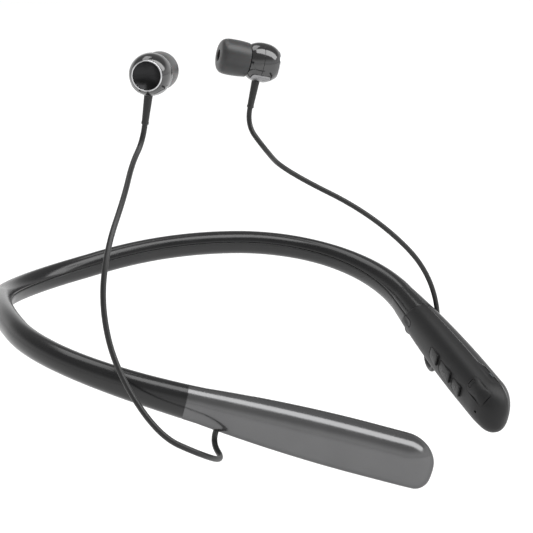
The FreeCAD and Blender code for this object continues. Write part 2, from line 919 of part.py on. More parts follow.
switches = []
for index, (_, start, length, lift) in enumerate(KEYS):
    switches.append((start + length / 2, lift))
switches.append((BOOK.power_place, BOOK.power_drop))
half = BOOK.switch_size / 2
switch_blocks = [
    block(
        f"switch_{index}",
        POD_PLACE,
        (spot - half, SWITCH_TOP + BOOK.switch_dome_height, lift - half),
        (BOOK.switch_size, BOOK.switch_height - BOOK.switch_dome_height, BOOK.switch_size),
    )
    for index, (spot, lift) in enumerate(switches)
]
switch_domes = [
    rod(
        f"switch_dome_{index}",
        POD_PLACE,
        (spot, SWITCH_TOP, lift),
        (0, 1, 0),
        BOOK.stem_radius,
        BOOK.switch_dome_height + WELD,
    )
    for index, (spot, lift) in enumerate(switches)
]
publish(joined("Switches", switch_blocks + switch_domes), "tact_switches")

motor_start = (MOTOR_SPOT, board_back, 0)
motor = rod("Motor", POD_PLACE, motor_start, (0, 1, 0), BOOK.motor_radius, BOOK.motor_height)
publish(motor, "vibration_motor")
capsule_start = (MIC_SPOT, -BOOK.mic_depth - BOOK.mic_height, -BOOK.mic_drop)
capsule = rod("Capsule", POD_PLACE, capsule_start, (0, 1, 0), BOOK.mic_radius, BOOK.mic_height)
publish(capsule, "microphone")

lamp_box = block(
    "LampBox",
    POD_PLACE,
    (LAMP_SPOT - BOOK.lamp_length / 2, BOOK.lamp_offset - BOOK.lamp_width / 2, BOOK.lamp_foot),
    (BOOK.lamp_length, BOOK.lamp_width, Dim.of(6)),
)
publish(shared("Lamp", lamp_box, fixed("LampRoom", pod_solid(0.05))), "lamp_window")

# ---------------------------------------------------------------- charging port and its cover
shell_box = port_box("PortShell", Dim.of(0), BOOK.port_floor, PORT_TOP)
port_back = BOOK.port_floor + BOOK.port_back_wall
mouth = port_box("PortMouth", -BOOK.port_wall, port_back, PORT_TOP + 1)
tongue_top = PORT_TOP - BOOK.port_tongue_setback
tongue = port_box("PortTongue", -BOOK.port_tongue_gap, port_back - WELD, tongue_top)
publish(joined("Port", [cut("PortHollow", shell_box, [mouth]), tongue]), "port_connector")

cover_cap = cover_prism(0.0).common(FORM).cut(pod_solid(val("cover_thickness")))
notch = Part.makeCylinder(
    val("cover_notch_radius"), 9, Vector(-val("cover_length") / 2, 0, 2)
)
notch.Placement = PORT_PLACE
plug = body_at("plug_body", PORT_PLACE)
plug_top = BOOK.pod_half_width - WELD
plug_ring = stadium(
    Dim.of(0),
    Dim.of(0),
    BOOK.port_width / 2 - BOOK.cover_plug_clearance,
    BOOK.port_height / 2 - BOOK.cover_plug_clearance,
)
pad(plug, "XY_Plane", plug_ring, BOOK.cover_plug_depth, float(plug_top - BOOK.cover_plug_depth))
strap_room = block(
    "strap_room", PORT_PLACE, (BOOK.strap_start, -BOOK.cover_width, 0),
    (BOOK.cover_length / 2, BOOK.cover_width * 2, BOOK.strap_foot),
)
cap = cut("CapWithStrap", fixed("CoverCap", cover_cap.cut(notch)), [strap_room])
publish(joined("Cover", [cap, plug]), "port_cover")

# ---------------------------------------------------------------- battery in the right pod
cell = body_at("cell_body", POD_PLACE)
cell_ring = rounded_box(BOOK.cell_half_width, BOOK.cell_half_height, BOOK.cell_round)
pad(cell, "YZ_Plane", cell_ring, CELL_LENGTH, float(BOOK.cell_start))
publish(mirrored("Cell", cell), "battery_cell")
pad_box = block(
    "PadBox",
    POD_PLACE,
    (BOOK.cell_start + BOOK.pad_gap, BOOK.cell_half_width, -BOOK.pad_half_height),
    (CELL_LENGTH - BOOK.pad_gap * 2, BOOK.pad_thickness, BOOK.pad_half_height * 2),
)
publish(mirrored("Pad", pad_box), "battery_pad")
guard_box = block(
    "GuardBox",
    POD_PLACE,
    (
        BOOK.cell_start + CELL_LENGTH + BOOK.guard_board_gap,
        -BOOK.cell_half_width,
        -BOOK.guard_board_half,
    ),
    (BOOK.board_thickness, BOOK.cell_half_width * 2, BOOK.guard_board_half * 2),
)
publish(mirrored("Guard", guard_box), "guard_board")

# ---------------------------------------------------------------- cords
publish(grommet_rod("GrommetLeft"), "grommet_left")
publish(mirrored("GrommetRightTurned", grommet_rod("GrommetRight")), "grommet_right")


def bud_place(toward_ear, stem_up, centre):
    """Where an earbud is worn: X into the ear, Z up its stem."""
    x = Vector(*toward_ear).normalize()
    z = Vector(*stem_up)
    z = (z - x * z.dot(x)).normalize()
    y = z.cross(x)
    c = Vector(*centre)
    return Placement(
        Matrix(x.x, y.x, z.x, c.x, x.y, y.y, z.y, c.y, x.z, y.z, z.z, c.z, 0, 0, 0, 1)
    )


BUDS = {
    "left": bud_place((0.6727, -0.7146, 0.1918), (-0.1211, 0.15, 0.9812), (-30.9, 61.9, 72.9)),
    "right": bud_place((-0.945, -0.3209, -0.063), (-0.0945, 0.0838, 0.992), (30.9, 61.9, 77.7)),
}
CORD_BENDS = {
    "left": [
        (-63.6, 107.6, -26.7),
        (-66.1, 114.6, -19.7),
        (-67.3, 106.7, -4.8),
        (-66.6, 102.2, 8.2),
        (-58.9, 92.1, 20.6),
        (-47.3, 78.6, 30.5),
        (-32.1, 66.0, 42.3),
    ],
    "right": [
        (70.4, 100.5, -22.0),
        (76.5, 105.6, -13.3),
        (82.7, 94.0, -4.5),
        (79.4, 80.7, 10.5),
        (76.5, 75.5, 22.3),
        (68.5, 71.5, 36.5),
        (56.0, 68.6, 46.7),
        (40.0, 60.9, 51.1),
    ],
}
FIRST_RUN = {"left": 10.2, "right": 8.7}
LAST_RUN = {"left": 6.9, "right": 5.5}


def cord_points(side):
    """From the grommet's face through the bends to the end of the boot."""
    frame = ROUTE.frame(ROUTE.length, -1 if side == "left" else 1)
    exit_at = (val("cord_exit_place"), val("cord_exit_offset"))
    start = frame.at(*exit_at, GROMMET_FOOT)
    after = frame.at(*exit_at, GROMMET_FOOT - FIRST_RUN[side])
    boot_end = val("collar_drop") + val("boot_length")
    end = BUDS[side].multVec(Vector(0, 0, -boot_end))
    before = BUDS[side].multVec(Vector(0, 0, -boot_end - LAST_RUN[side]))
    return [start, after, *(Vector(*bend) for bend in CORD_BENDS[side]), before, end]


def cord_path(points):
    """Straight runs joined by tangent arcs."""
    edges, here = [], points[0]
    for before, corner, after in zip(points, points[1:], points[2:]):
        back, ahead = (before - corner), (after - corner)
        reach = 0.45 * min(back.Length, ahead.Length)
        back.normalize()
        ahead.normalize()
        first, last = corner + back * reach, corner + ahead * reach
        half_turn = (math.pi - back.getAngle(ahead)) / 2
        radius = reach / math.tan(half_turn)
        centre_line = (back + ahead).normalize()
        depth = radius / math.cos(half_turn) - radius
        edges.append(Part.LineSegment(here, first).toShape())
        edges.append(Part.Arc(first, corner + centre_line * depth, last).toShape())
        print(f"bend radius {radius:.1f} mm")
        here = last
    edges.append(Part.LineSegment(here, points[-1]).toShape())
    return Part.Wire(edges)


def cord(side):
    """A cord of round section along its path."""
    points = cord_points(side)
    path = cord_path(points)
    ring = Part.Circle(points[0], points[1] - points[0], val("cord_radius"))
    tube = path.makePipeShell([Part.Wire([ring.toShape()])], True, True)
    wanted = math.pi * val("cord_radius") ** 2 * path.Length
    print(f"cord_{side}: {path.Length:.1f} mm, volume {tube.Volume:.1f} for {wanted:.1f}")
    if abs(tube.Volume - wanted) > 0.02 * wanted:
        raise SystemExit(f"cord_{side} folds over itself")
    return publish(fixed(f"Cord_{side}", tube), f"cord_{side}")


for side in BUDS:
    cord(side)


# ---------------------------------------------------------------- earbuds
def earbud(side, place):
    """The nine pieces of one earbud, each a body in the earbud's own frame."""
    shell, wall, seam = BOOK.bud_radius, BOOK.bud_wall, BOOK.bud_seam
    back, back_radius = BOOK.bud_back_length, BOOK.bud_back_radius
    front, front_radius = BOOK.bud_front_length, BOOK.bud_front_radius
    nozzle, nozzle_end = BOOK.nozzle_radius, BOOK.bud_front_length + BOOK.nozzle_length
    hole = back_radius - BOOK.ring_width

    rear_body = body_at(f"rear_{side}", place)
    turned(rear_body, [
        (Dim.of(0), shell - wall),
        (Dim.of(0), shell),
        (-seam, shell, BOOK.bud_crown_radius),
        (-back, back_radius),
        (-back, hole),
        (wall - back, hole),
        (wall - back, back_radius - BOOK.bud_back_step),
        (-seam, shell - wall),
    ])
    publish(rear_body, f"rear_shell_{side}")

    front_body = body_at(f"front_{side}", place)
    turned(front_body, [
        (Dim.of(0), shell),
        (Dim.of(0), shell - wall),
        (seam, shell - wall),
        (front - wall, front_radius - BOOK.bud_front_step),
        (front - wall, BOOK.nozzle_bore),
        (nozzle_end, BOOK.nozzle_bore),
        (nozzle_end, nozzle + BOOK.nozzle_lip),
        (nozzle_end - BOOK.nozzle_lip_length, nozzle + BOOK.nozzle_lip),
        (nozzle_end - BOOK.nozzle_lip_length, nozzle),
        (front, nozzle),
        (front, front_radius, BOOK.bud_crown_radius),
        (seam, shell),
    ])
    publish(front_body, f"front_shell_{side}")

    ring_body = body_at(f"ring_{side}", place)
    turned(ring_body, [
        (-back, hole),
        (-back, back_radius, BOOK.ring_crown_radius),
        (-(back + BOOK.ring_length), hole + BOOK.ring_rim),
        (-(back + BOOK.ring_length), hole),
    ])
    publish(ring_body, f"bezel_ring_{side}")

    dish_body = body_at(f"dish_{side}", place)
    dish_edge = hole - BOOK.dish_clearance
    rim = -(back + BOOK.ring_length - BOOK.dish_setback)
    turned(dish_body, [
        (rim + BOOK.dish_sag, Dim.of(0), BOOK.dish_curve_radius),
        (rim, dish_edge),
        (rim + BOOK.dish_thickness, dish_edge, -BOOK.dish_curve_radius),
        (rim + BOOK.dish_thickness + BOOK.dish_sag, Dim.of(0)),
    ])
    publish(dish_body, f"dish_{side}")

    driver = rod(
        f"driver_rod_{side}", place, (-BOOK.driver_length / 2, 0, 0), (1, 0, 0),
        BOOK.driver_radius, BOOK.driver_length,
    )
    publish(driver, f"driver_{side}")
    mesh = rod(
        f"mesh_rod_{side}", place, (nozzle_end - BOOK.mesh_setback, 0, 0), (1, 0, 0),
        BOOK.nozzle_bore - BOOK.mesh_clearance, BOOK.mesh_thickness,
    )
    publish(mesh, f"nozzle_mesh_{side}")

    bore = nozzle + BOOK.nozzle_lip + BOOK.tip_bore_clearance
    tip_back = front + BOOK.tip_gap
    tip_front = tip_back + BOOK.tip_length
    sleeve = bore + BOOK.tip_sleeve
    tip_body = body_at(f"tip_{side}", place)
    mouth_foot = tip_front - BOOK.tip_mouth_length
    skirt = tip_back + BOOK.tip_skirt_setback
    turned(tip_body, [
        (tip_back, bore),
        (mouth_foot - BOOK.tip_mouth_taper, bore),
        (mouth_foot, BOOK.tip_mouth_radius),
        (tip_front, BOOK.tip_mouth_radius + BOOK.tip_mouth_flare, BOOK.tip_outer_curve),
        (skirt, BOOK.tip_radius),
        (skirt + BOOK.tip_skirt_edge, BOOK.tip_radius - BOOK.tip_skin, -BOOK.tip_inner_curve),
        (tip_front - BOOK.tip_skirt_setback, sleeve),
        (tip_back, sleeve),
    ])
    publish(tip_body, f"ear_tip_{side}")

    outer = shell + BOOK.saddle_thickness
    start = (-BOOK.saddle_length / 2, 0, 0)
    inner = shell + BOOK.saddle_clearance
    strap = cut(
        f"Strap_{side}",
        rod(f"strap_outer_{side}", place, start, (1, 0, 0), outer, BOOK.saddle_length),
        [rod(f"strap_inner_{side}", place, start, (1, 0, 0), inner, BOOK.saddle_length)],
    )
    corner = (-BOOK.saddle_length / 2, -BOOK.saddle_half_width, -shell - 2)
    size = (BOOK.saddle_length, BOOK.saddle_half_width * 2, shell - 2)
    window = block(f"strap_window_{side}", place, corner, size)
    collar = rod(
        f"collar_{side}", place, (0, 0, -BOOK.collar_drop), (0, 0, 1),
        BOOK.collar_radius, BOOK.collar_drop - shell - BOOK.collar_gap,
    )
    strap_part = shared(f"StrapPart_{side}", strap, window)
    publish(joined(f"Saddle_{side}", [strap_part, collar]), f"saddle_{side}")

    boot_body = body_at(f"boot_{side}", place)
    boot_end = BOOK.collar_drop + BOOK.boot_length
    top, end = BOOK.boot_top_radius, BOOK.boot_end_radius
    lip_top = BOOK.boot_lip_length - boot_end
    turned(boot_body, [
        (Dim.of(0), -boot_end),
        (end + BOOK.boot_lip, -boot_end),
        (end + BOOK.boot_lip, lip_top),
        (end, lip_top + BOOK.boot_lip_slope),
        (top, -(BOOK.collar_drop + BOOK.boot_chamfer)),
        (top - BOOK.boot_chamfer, -BOOK.collar_drop),
        (Dim.of(0), -BOOK.collar_drop),
    ], "V_Axis")
    publish(boot_body, f"boot_{side}")


for side, bud in BUDS.items():
    earbud(side, bud)


# ---------------------------------------------------------------- checks and export
DOC.recompute()
os.makedirs("parts", exist_ok=True)
for item in DOC.Objects:
    if "Invalid" in item.State or "Error" in item.State:
        raise SystemExit(f"{item.Name} ({item.Label}) is not sound: {item.State}")
for item in PARTS:
    shape = item.Shape
    if shape.isNull() or not shape.isValid() or not shape.Solids:
        raise SystemExit(f"{item.Label} has no sound solid")
    shape.exportStep(os.path.join("parts", f"{item.Label}.step"))
    box = shape.BoundBox
    print(
        f"{item.Label:20s} solids {len(shape.Solids)} volume {shape.Volume:8.1f}"
        f"  x {box.XMin:7.1f} {box.XMax:7.1f}  y {box.YMin:7.1f} {box.YMax:7.1f}"
        f"  z {box.ZMin:7.1f} {box.ZMax:7.1f}"
    )
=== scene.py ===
"""Neckband earphones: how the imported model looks.

Everything is in metres in the model's own frame: +Y the way the wearer faces, +X the
wearer's right, +Z up, with the origin on the inner face of the band at the nape.
"""

import json
import logging
import math
from collections.abc import Callable
from dataclasses import dataclass
from enum import Enum

import bmesh
import bpy
import numpy as np
from mathutils import Matrix, Vector

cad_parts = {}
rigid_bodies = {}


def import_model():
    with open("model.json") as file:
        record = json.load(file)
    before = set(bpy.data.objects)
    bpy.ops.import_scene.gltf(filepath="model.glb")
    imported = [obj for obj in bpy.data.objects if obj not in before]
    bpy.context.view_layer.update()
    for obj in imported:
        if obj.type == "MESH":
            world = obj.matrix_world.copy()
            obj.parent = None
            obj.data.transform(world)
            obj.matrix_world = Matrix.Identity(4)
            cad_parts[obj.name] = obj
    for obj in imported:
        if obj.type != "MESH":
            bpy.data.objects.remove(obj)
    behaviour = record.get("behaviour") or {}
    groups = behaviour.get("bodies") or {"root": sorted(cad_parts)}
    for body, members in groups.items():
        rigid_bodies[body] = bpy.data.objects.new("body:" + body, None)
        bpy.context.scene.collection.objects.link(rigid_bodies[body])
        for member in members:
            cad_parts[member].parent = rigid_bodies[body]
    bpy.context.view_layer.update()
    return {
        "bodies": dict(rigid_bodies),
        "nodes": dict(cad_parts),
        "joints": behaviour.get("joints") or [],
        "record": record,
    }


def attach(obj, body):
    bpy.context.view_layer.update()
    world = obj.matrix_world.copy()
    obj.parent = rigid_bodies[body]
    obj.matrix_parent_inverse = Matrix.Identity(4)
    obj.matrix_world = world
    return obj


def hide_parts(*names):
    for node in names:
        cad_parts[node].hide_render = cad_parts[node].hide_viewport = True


LOG = logging.getLogger("neckband")
MM = 0.001
TURN = 2 * math.pi
MERGE = 0.002 * MM
CUT_DEPTH = 3 * MM
CUT_HEIGHT = 2 * MM

Spot = tuple[float, float, float]
Height = Callable[[np.ndarray], np.ndarray]


class Side(Enum):
    """The wearer's side that a pod, cord or earbud is on."""

    LEFT = -1
    RIGHT = 1

    @property
    def word(self) -> str:
        """The side's name as node names end."""
        return self.name.lower()


# ------------------------------------------------------------------ geometry helpers
def ease(share: np.ndarray) -> np.ndarray:
    """Quick start and level end: s(2 - s), with s held between 0 and 1."""
    share = np.clip(share, 0.0, 1.0)
    return share * (2 - share)


def smooth(value: np.ndarray, low: float, high: float) -> np.ndarray:
    """Smoothstep from 0 at low to 1 at high: 3t^2 - 2t^3."""
    share = np.clip((np.asarray(value, float) - low) / (high - low), 0.0, 1.0)
    return share * share * (3 - 2 * share)


def quarter(share: np.ndarray) -> np.ndarray:
    """What is left of a quarter circle at a share of its run: sqrt(1 - s^2)."""
    share = np.clip(share, 0.0, 1.0)
    return np.sqrt(1 - share * share)


def signed_power(value: np.ndarray, power: float) -> np.ndarray:
    """sign(v) |v|^power, the wave that a superellipse is drawn with."""
    return np.sign(value) * np.abs(value) ** power


@dataclass(frozen=True)
class Frames:
    """A row of places on the collar with their own directions, each array (n, 3)."""

    point: np.ndarray
    along: np.ndarray
    outward: np.ndarray
    up: np.ndarray

    def place(self, along: np.ndarray, outward: np.ndarray, up: np.ndarray) -> np.ndarray:
        """World points of local offsets.

        Args:
            along: offsets along the collar, (n, m).
            outward: offsets away from the wearer, (n, m).
            up: offsets up, (n, m).

        Returns:
            Points (n, m, 3): point + a*along + o*outward + u*up for each row.
        """
        steps = (
            along[..., None] * self.along[:, None],
            outward[..., None] * self.outward[:, None],
            up[..., None] * self.up[:, None],
        )
        return self.point[:, None] + sum(steps)


@dataclass(frozen=True)
class Local:
    """A rigid place: an origin and three directions, in metres."""

    origin: np.ndarray
    x: np.ndarray
    y: np.ndarray
    z: np.ndarray

    def world(self, points: np.ndarray) -> np.ndarray:
        """World points of local ones, any shape ending in 3."""
        axes = np.stack([self.x, self.y, self.z])
        return self.origin + points @ axes

    def turned_x(self, degrees: float, shift: Spot) -> "Local":
        """A place moved by a local shift and then turned about its own x.

        Args:
            degrees: how far it turns from y towards z.
            shift: the move, in its own directions.

        Returns:
            The new place.
        """
        c, s = math.cos(math.radians(degrees)), math.sin(math.radians(degrees))
        origin = self.world(np.array(shift))
        return Local(origin, self.x, self.y * c + self.z * s, self.z * c - self.y * s)


@dataclass(frozen=True)
class CollarRoute:
    """The collar's centreline: three tangent arcs a side in plan, with a height law."""

    radii: tuple[float, ...] = (42.6 * MM, 155.0 * MM, 49.7 * MM)
    turns_deg: tuple[float, ...] = (31.3, 19.2, 76.4)
    back_offset: float = 3.5 * MM
    rise_slope: float = 0.183
    rise_run: float = 27.9 * MM
    pod_slope: float = 0.304

    @property
    def length(self) -> float:
        """The run of one side from the nape to the pod: the sum of radius times turn."""
        return sum(r * math.radians(t) for r, t in zip(self.radii, self.turns_deg))

    def frames(self, runs: np.ndarray, side: Side) -> Frames:
        """Places after runs from the nape.

        Each arc of radius r adds r(sin h1 - sin h0) across and r(cos h0 - cos h1)
        forward as the heading goes from h0 to h1; the height is the integral of a
        slope that rises to rise_slope and then falls evenly to -pod_slope.

        Args:
            runs: lengths along the centreline, (n,).
            side: the wearer's side.

        Returns:
            The frames of those places.
        """
        runs = np.asarray(runs, float)
        left = runs.copy()
        x, y = np.zeros_like(runs), np.full_like(runs, -self.back_offset)
        heading = np.zeros_like(runs)
        for radius, turn in zip(self.radii, self.turns_deg):
            part = np.minimum(left, radius * math.radians(turn))
            ahead = heading + part / radius
            x += radius * (np.sin(ahead) - np.sin(heading))
            y += radius * (np.cos(heading) - np.cos(ahead))
            heading, left = ahead, left - part
        x += left * np.cos(heading)
        y += left * np.sin(heading)
        start = np.minimum(runs, self.rise_run)
        fall_run = self.length - self.rise_run
        part = np.clip(runs - self.rise_run, 0.0, fall_run)
        bend = -(self.pod_slope + self.rise_slope) / fall_run
        slope = self.rise_slope * start / self.rise_run + bend * part
        height = self.rise_slope * start**2 / (2 * self.rise_run)
        height += self.rise_slope * part + bend * part**2 / 2
        height += slope * np.maximum(runs - self.length, 0.0)
        sign = side.value
        along = np.stack([sign * np.cos(heading), np.sin(heading), slope], axis=1)
        along /= np.linalg.norm(along, axis=1, keepdims=True)
        outward = np.stack([sign * np.sin(heading), -np.cos(heading), 0 * heading], axis=1)
        up = np.cross(along, outward) * -sign
        return Frames(np.stack([sign * x, y, height], axis=1), along, outward, up)


# ------------------------------------------------------------------ mesh building
def grid_faces(rows: int, cols: int, wrap_rows: bool, wrap_cols: bool) -> np.ndarray:
    """Quads of a grid of points, (faces, 4), joined round where it wraps.

    Args:
        rows: rows of points.
        cols: points in a row.
        wrap_rows: whether the last row joins the first.
        wrap_cols: whether each row is closed.

    Returns:
        Point numbers (faces, 4).
    """
    r = np.arange(rows if wrap_rows else rows - 1)
    c = np.arange(cols if wrap_cols else cols - 1)
    r0, c0 = np.meshgrid(r, c, indexing="ij")
    r1, c1 = (r0 + 1) % rows, (c0 + 1) % cols
    quads = [r0 * cols + c0, r0 * cols + c1, r1 * cols + c1, r1 * cols + c0]
    return np.stack([q.ravel() for q in quads], axis=1)


def make_mesh(name: str, points: np.ndarray, faces: np.ndarray, ends: list[list[int]]) -> bpy.types.Object:
    """A mesh object from arrays, its doubles merged and its faces turned outwards.

    Args:
        name: the piece's name.
        points: (k, 3) world points.
        faces: (f, 4) quads.
        ends: extra faces, such as end caps, as point numbers.

    Returns:
        The object, linked to the scene and shaded smooth.
    """
    mesh = bpy.data.meshes.new(name)
    mesh.from_pydata(points.reshape(-1, 3).tolist(), [], faces.tolist() + ends)
    work = bmesh.new()
    work.from_mesh(mesh)
    bmesh.ops.remove_doubles(work, verts=work.verts, dist=MERGE)
    bmesh.ops.dissolve_degenerate(work, edges=work.edges, dist=1e-7)
    bmesh.ops.recalc_face_normals(work, faces=work.faces)
    work.to_mesh(mesh)
    work.free()
    mesh.shade_smooth()
    piece = bpy.data.objects.new(name, mesh)
    bpy.context.collection.objects.link(piece)
    return piece


def loft(name: str, points: np.ndarray, capped: bool = True) -> bpy.types.Object:
    """A tube over closed rows of points, a face shutting each end where it is capped.

    Args:
        name: the piece's name.
        points: (n, m, 3), one closed row at each step along the tube.
        capped: whether the ends are shut.

    Returns:
        The tube.
    """
    rows, cols = points.shape[:2]
    ends: list[list[int]] = []
    if capped:
        ends = [list(range(cols)), list(range((rows - 1) * cols, rows * cols))]
    return make_mesh(name, points, grid_faces(rows, cols, False, True), ends)


def sharpen(piece: bpy.types.Object, degrees: float = 40.0) -> None:
    """Keep edges crisp where neighbouring faces turn by more than an angle."""
    piece.data.set_sharp_from_angle(angle=math.radians(degrees))


def finish_modifiers(piece: bpy.types.Object) -> None:
    """Turn a piece's modifiers into its own mesh.

    Args:
        piece: the piece.
    """
    graph = bpy.context.evaluated_depsgraph_get()
    result = bpy.data.meshes.new_from_object(piece.evaluated_get(graph))
    piece.modifiers.clear()
    piece.data = result


def walled(name: str, skin: np.ndarray, lining: np.ndarray) -> bpy.types.Object:
    """A wall between two grids of points (n, m, 3), shut along its edges.

    Where the first and last columns lie on one another the grids already close round,
    so no edge is needed there; nor at a last row that is one point.

    Args:
        name: the piece's name.
        skin: the outer grid.
        lining: the inner grid.

    Returns:
        The closed wall.
    """
    rows, cols = skin.shape[:2]
    count = rows * cols
    front = grid_faces(rows, cols, False, False)
    met = np.linalg.norm(skin[:, 0] - skin[:, -1], axis=1) < MERGE
    step = np.arange(rows - 1)[~(met[:-1] & met[1:])] * cols
    across = np.arange(cols - 1)
    starts = [step, step + cols - 1, across]
    ends = [step + cols, step + 2 * cols - 1, across + 1]
    if np.ptp(skin[-1], axis=0).max() > MERGE:
        starts.append(across + count - cols)
        ends.append(across + count - cols + 1)
    first, last = np.concatenate(starts), np.concatenate(ends)
    rim = np.stack([first, last, last + count, first + count], axis=1)
    points = np.concatenate([skin.reshape(-1, 3), lining.reshape(-1, 3)])
    return make_mesh(name, points, np.concatenate([front, front[:, ::-1] + count, rim]), [])


def carve(piece: bpy.types.Object, cutters: list[bpy.types.Object]) -> None:
    """Cut the cutters out of a piece and drop them.

    Args:
        piece: the piece that is cut.
        cutters: closed solids.
    """
    for number, cutter in enumerate(cutters):
        tool = piece.modifiers.new(f"opening_{number}", "BOOLEAN")
        tool.operation = "DIFFERENCE"
        tool.solver = "EXACT"
        tool.object = cutter
    finish_modifiers(piece)
    for cutter in cutters:
        bpy.data.objects.remove(cutter, do_unlink=True)


def soften(piece: bpy.types.Object, width: float) -> None:
    """Round a piece's sharp edges by a width.

    Args:
        piece: the piece.
        width: the bevel's width.
    """
    edge = piece.modifiers.new("edge", "BEVEL")
    edge.width = width
    edge.segments = 3
    edge.limit_method = "ANGLE"
    edge.angle_limit = math.radians(35)
    edge.harden_normals = False
    finish_modifiers(piece)
    piece.data.shade_smooth()
    sharpen(piece, 50)


def even(height: float) -> Height:
    """A height that is the same everywhere.

    Args:
        height: the height over the skin.

    Returns:
        A function of flat points.
    """

    def level(flat: np.ndarray) -> np.ndarray:
        """The height, once for each flat point."""
        return np.full(len(flat), height)

    return level


def pillow(rows: int, cols: int, power: float) -> np.ndarray:
    """A rounded box inside -1..1 as a superellipsoid grid.

    With latitude b and longitude a: x = c(b) c(a), y = c(b) s(a), z = s(b), where c
    and s are cosine and sine raised to the power with their sign kept.

    Args:
        rows: rows from pole to pole.
        cols: points round a row.
        power: the waves' power: 1 for a ball, near 0 for a box.

    Returns:
        Points (rows, cols, 3).
    """
    lat = np.linspace(-math.pi / 2, math.pi / 2, rows)[:, None]
    lon = np.linspace(0, TURN, cols, endpoint=False)[None, :]
    cl, sl = signed_power(np.cos(lat), power), signed_power(np.sin(lat), power)
    co, so = signed_power(np.cos(lon), power), signed_power(np.sin(lon), power)
    return np.stack([cl * co, cl * so, sl * np.ones_like(co)], axis=-1)


def stadium_loop(half_length: float, radius: float, count: int) -> np.ndarray:
    """Points (count, 2) round a long round-ended outline: a circle pulled apart along x.

    Args:
        half_length: half of its whole length.
        radius: radius of its ends.
        count: how many points.

    Returns:
        The points, anticlockwise.
    """
    angle = np.linspace(0, TURN, count, endpoint=False) + math.pi / count
    x = radius * np.cos(angle) + np.sign(np.cos(angle)) * (half_length - radius)
    return np.stack([x, radius * np.sin(angle)], axis=1)


def column(name: str, place: Local, outline: np.ndarray, low: float, high: float) -> bpy.types.Object:
    """A straight column over an outline (m, 2) in the place's x-y, from low to high in z.

    Args:
        name: the piece's name.
        place: the place it is made at.
        outline: (m, 2) points round it.
        low: height of its foot.
        high: height of its head.

    Returns:
        The column, both ends shut.
    """
    points = np.zeros((2, len(outline), 3))
    points[..., :2] = outline
    points[..., 2] = np.array([low, high])[:, None]
    return loft(name, place.world(points))


def lathe(
    name: str, place: Local, profile: np.ndarray, segments: int = 96, shut: bool = True
) -> bpy.types.Object:
    """A turned piece: a profile (k, 2) of place along x and radius, spun about x.

    Each point (x, r) goes to (x, r cos a, r sin a); shut joins the profile's ends.

    Args:
        name: the piece's name.
        place: the place whose x is the axis.
        profile: (k, 2) places along x and radii.
        segments: steps round the axis.
        shut: whether the profile's ends are joined.

    Returns:
        The turned piece.
    """
    angle = np.linspace(0, TURN, segments, endpoint=False)[:, None]
    x, r = profile[None, :, 0], profile[None, :, 1]
    points = np.stack([x + 0 * angle, r * np.cos(angle), r * np.sin(angle)], axis=-1)
    faces = grid_faces(segments, len(profile), True, shut)
    return make_mesh(name, place.world(points), faces, [])


def bent(first: tuple[float, float], last: tuple[float, float], bulge: float) -> np.ndarray:
    """Points of a shallow arc from first to last, bulging to the right of the way.

    The sag at share t of the chord is 4 bulge t (1 - t), a parabola close to the arc.

    Args:
        first: the first point.
        last: the last point.
        bulge: the sag in the middle.

    Returns:
        Points (12, 2).
    """
    a, b = np.array(first), np.array(last)
    t = np.linspace(0, 1, 12)[:, None]
    way = (b - a) / np.linalg.norm(b - a)
    side = np.array([way[1], -way[0]])
    return a + (b - a) * t + side * 4 * bulge * t * (1 - t)


def chain(*parts: np.ndarray | tuple[float, float]) -> np.ndarray:
    """One profile from points and arcs in order."""
    return np.concatenate([np.atleast_2d(np.array(part, float)) for part in parts])


def rounded_profile(profile: np.ndarray, radius: float) -> np.ndarray:
    """A closed profile with each sharp corner replaced by a small parabola.

    A corner's curve runs between points a set-back away on both sides, the set-back
    being the radius or 0.4 of the shorter side, by (1-t)^2 A + 2t(1-t) C + t^2 B.

    Args:
        profile: (k, 2) corners.
        radius: the longest set-back.

    Returns:
        Points (4k, 2).
    """
    before, after = np.roll(profile, 1, axis=0), np.roll(profile, -1, axis=0)
    back, ahead = before - profile, after - profile
    lb, la = np.linalg.norm(back, axis=1), np.linalg.norm(ahead, axis=1)
    reach = np.minimum(radius, 0.4 * np.minimum(lb, la))
    a = profile + back / lb[:, None] * reach[:, None]
    b = profile + ahead / la[:, None] * reach[:, None]
    t = np.linspace(0, 1, 4)[None, :, None]
    curve = (1 - t) ** 2 * a[:, None] + 2 * t * (1 - t) * profile[:, None] + t**2 * b[:, None]
    return curve.reshape(-1, 2)


# ------------------------------------------------------------------ the arms
@dataclass(frozen=True)
class Sections:
    """Rounded sections: superellipses of given half width, top and bottom, any array shape."""

    half_width: np.ndarray
    top: np.ndarray
    bottom: np.ndarray
    boxiness: np.ndarray

    def offsets(self, angles: np.ndarray) -> tuple[np.ndarray, np.ndarray]:
        """Outward and up offsets at angles from outward towards up.

        Outward is w sgn(cos)|cos|^p and up is m + h sgn(sin)|sin|^p, p = 2 / (2 + b).

        Args:
            angles: angles in radians, of a shape that goes with the sections' own.

        Returns:
            The two offset arrays.
        """
        power = 2 / (2 + self.boxiness)
        half, middle = (self.top - self.bottom) / 2, (self.top + self.bottom) / 2
        out = signed_power(np.cos(angles), power) * self.half_width
        return out, middle + signed_power(np.sin(angles), power) * half

    def angle_of(self, outward: np.ndarray | float) -> np.ndarray:
        """The angle in the upper outer quarter at which the outward offset is reached."""
        share = np.clip(outward / np.maximum(self.half_width, 1e-6), 0.0, 1.0)
        return np.arccos(share ** ((2 + self.boxiness) / 2))


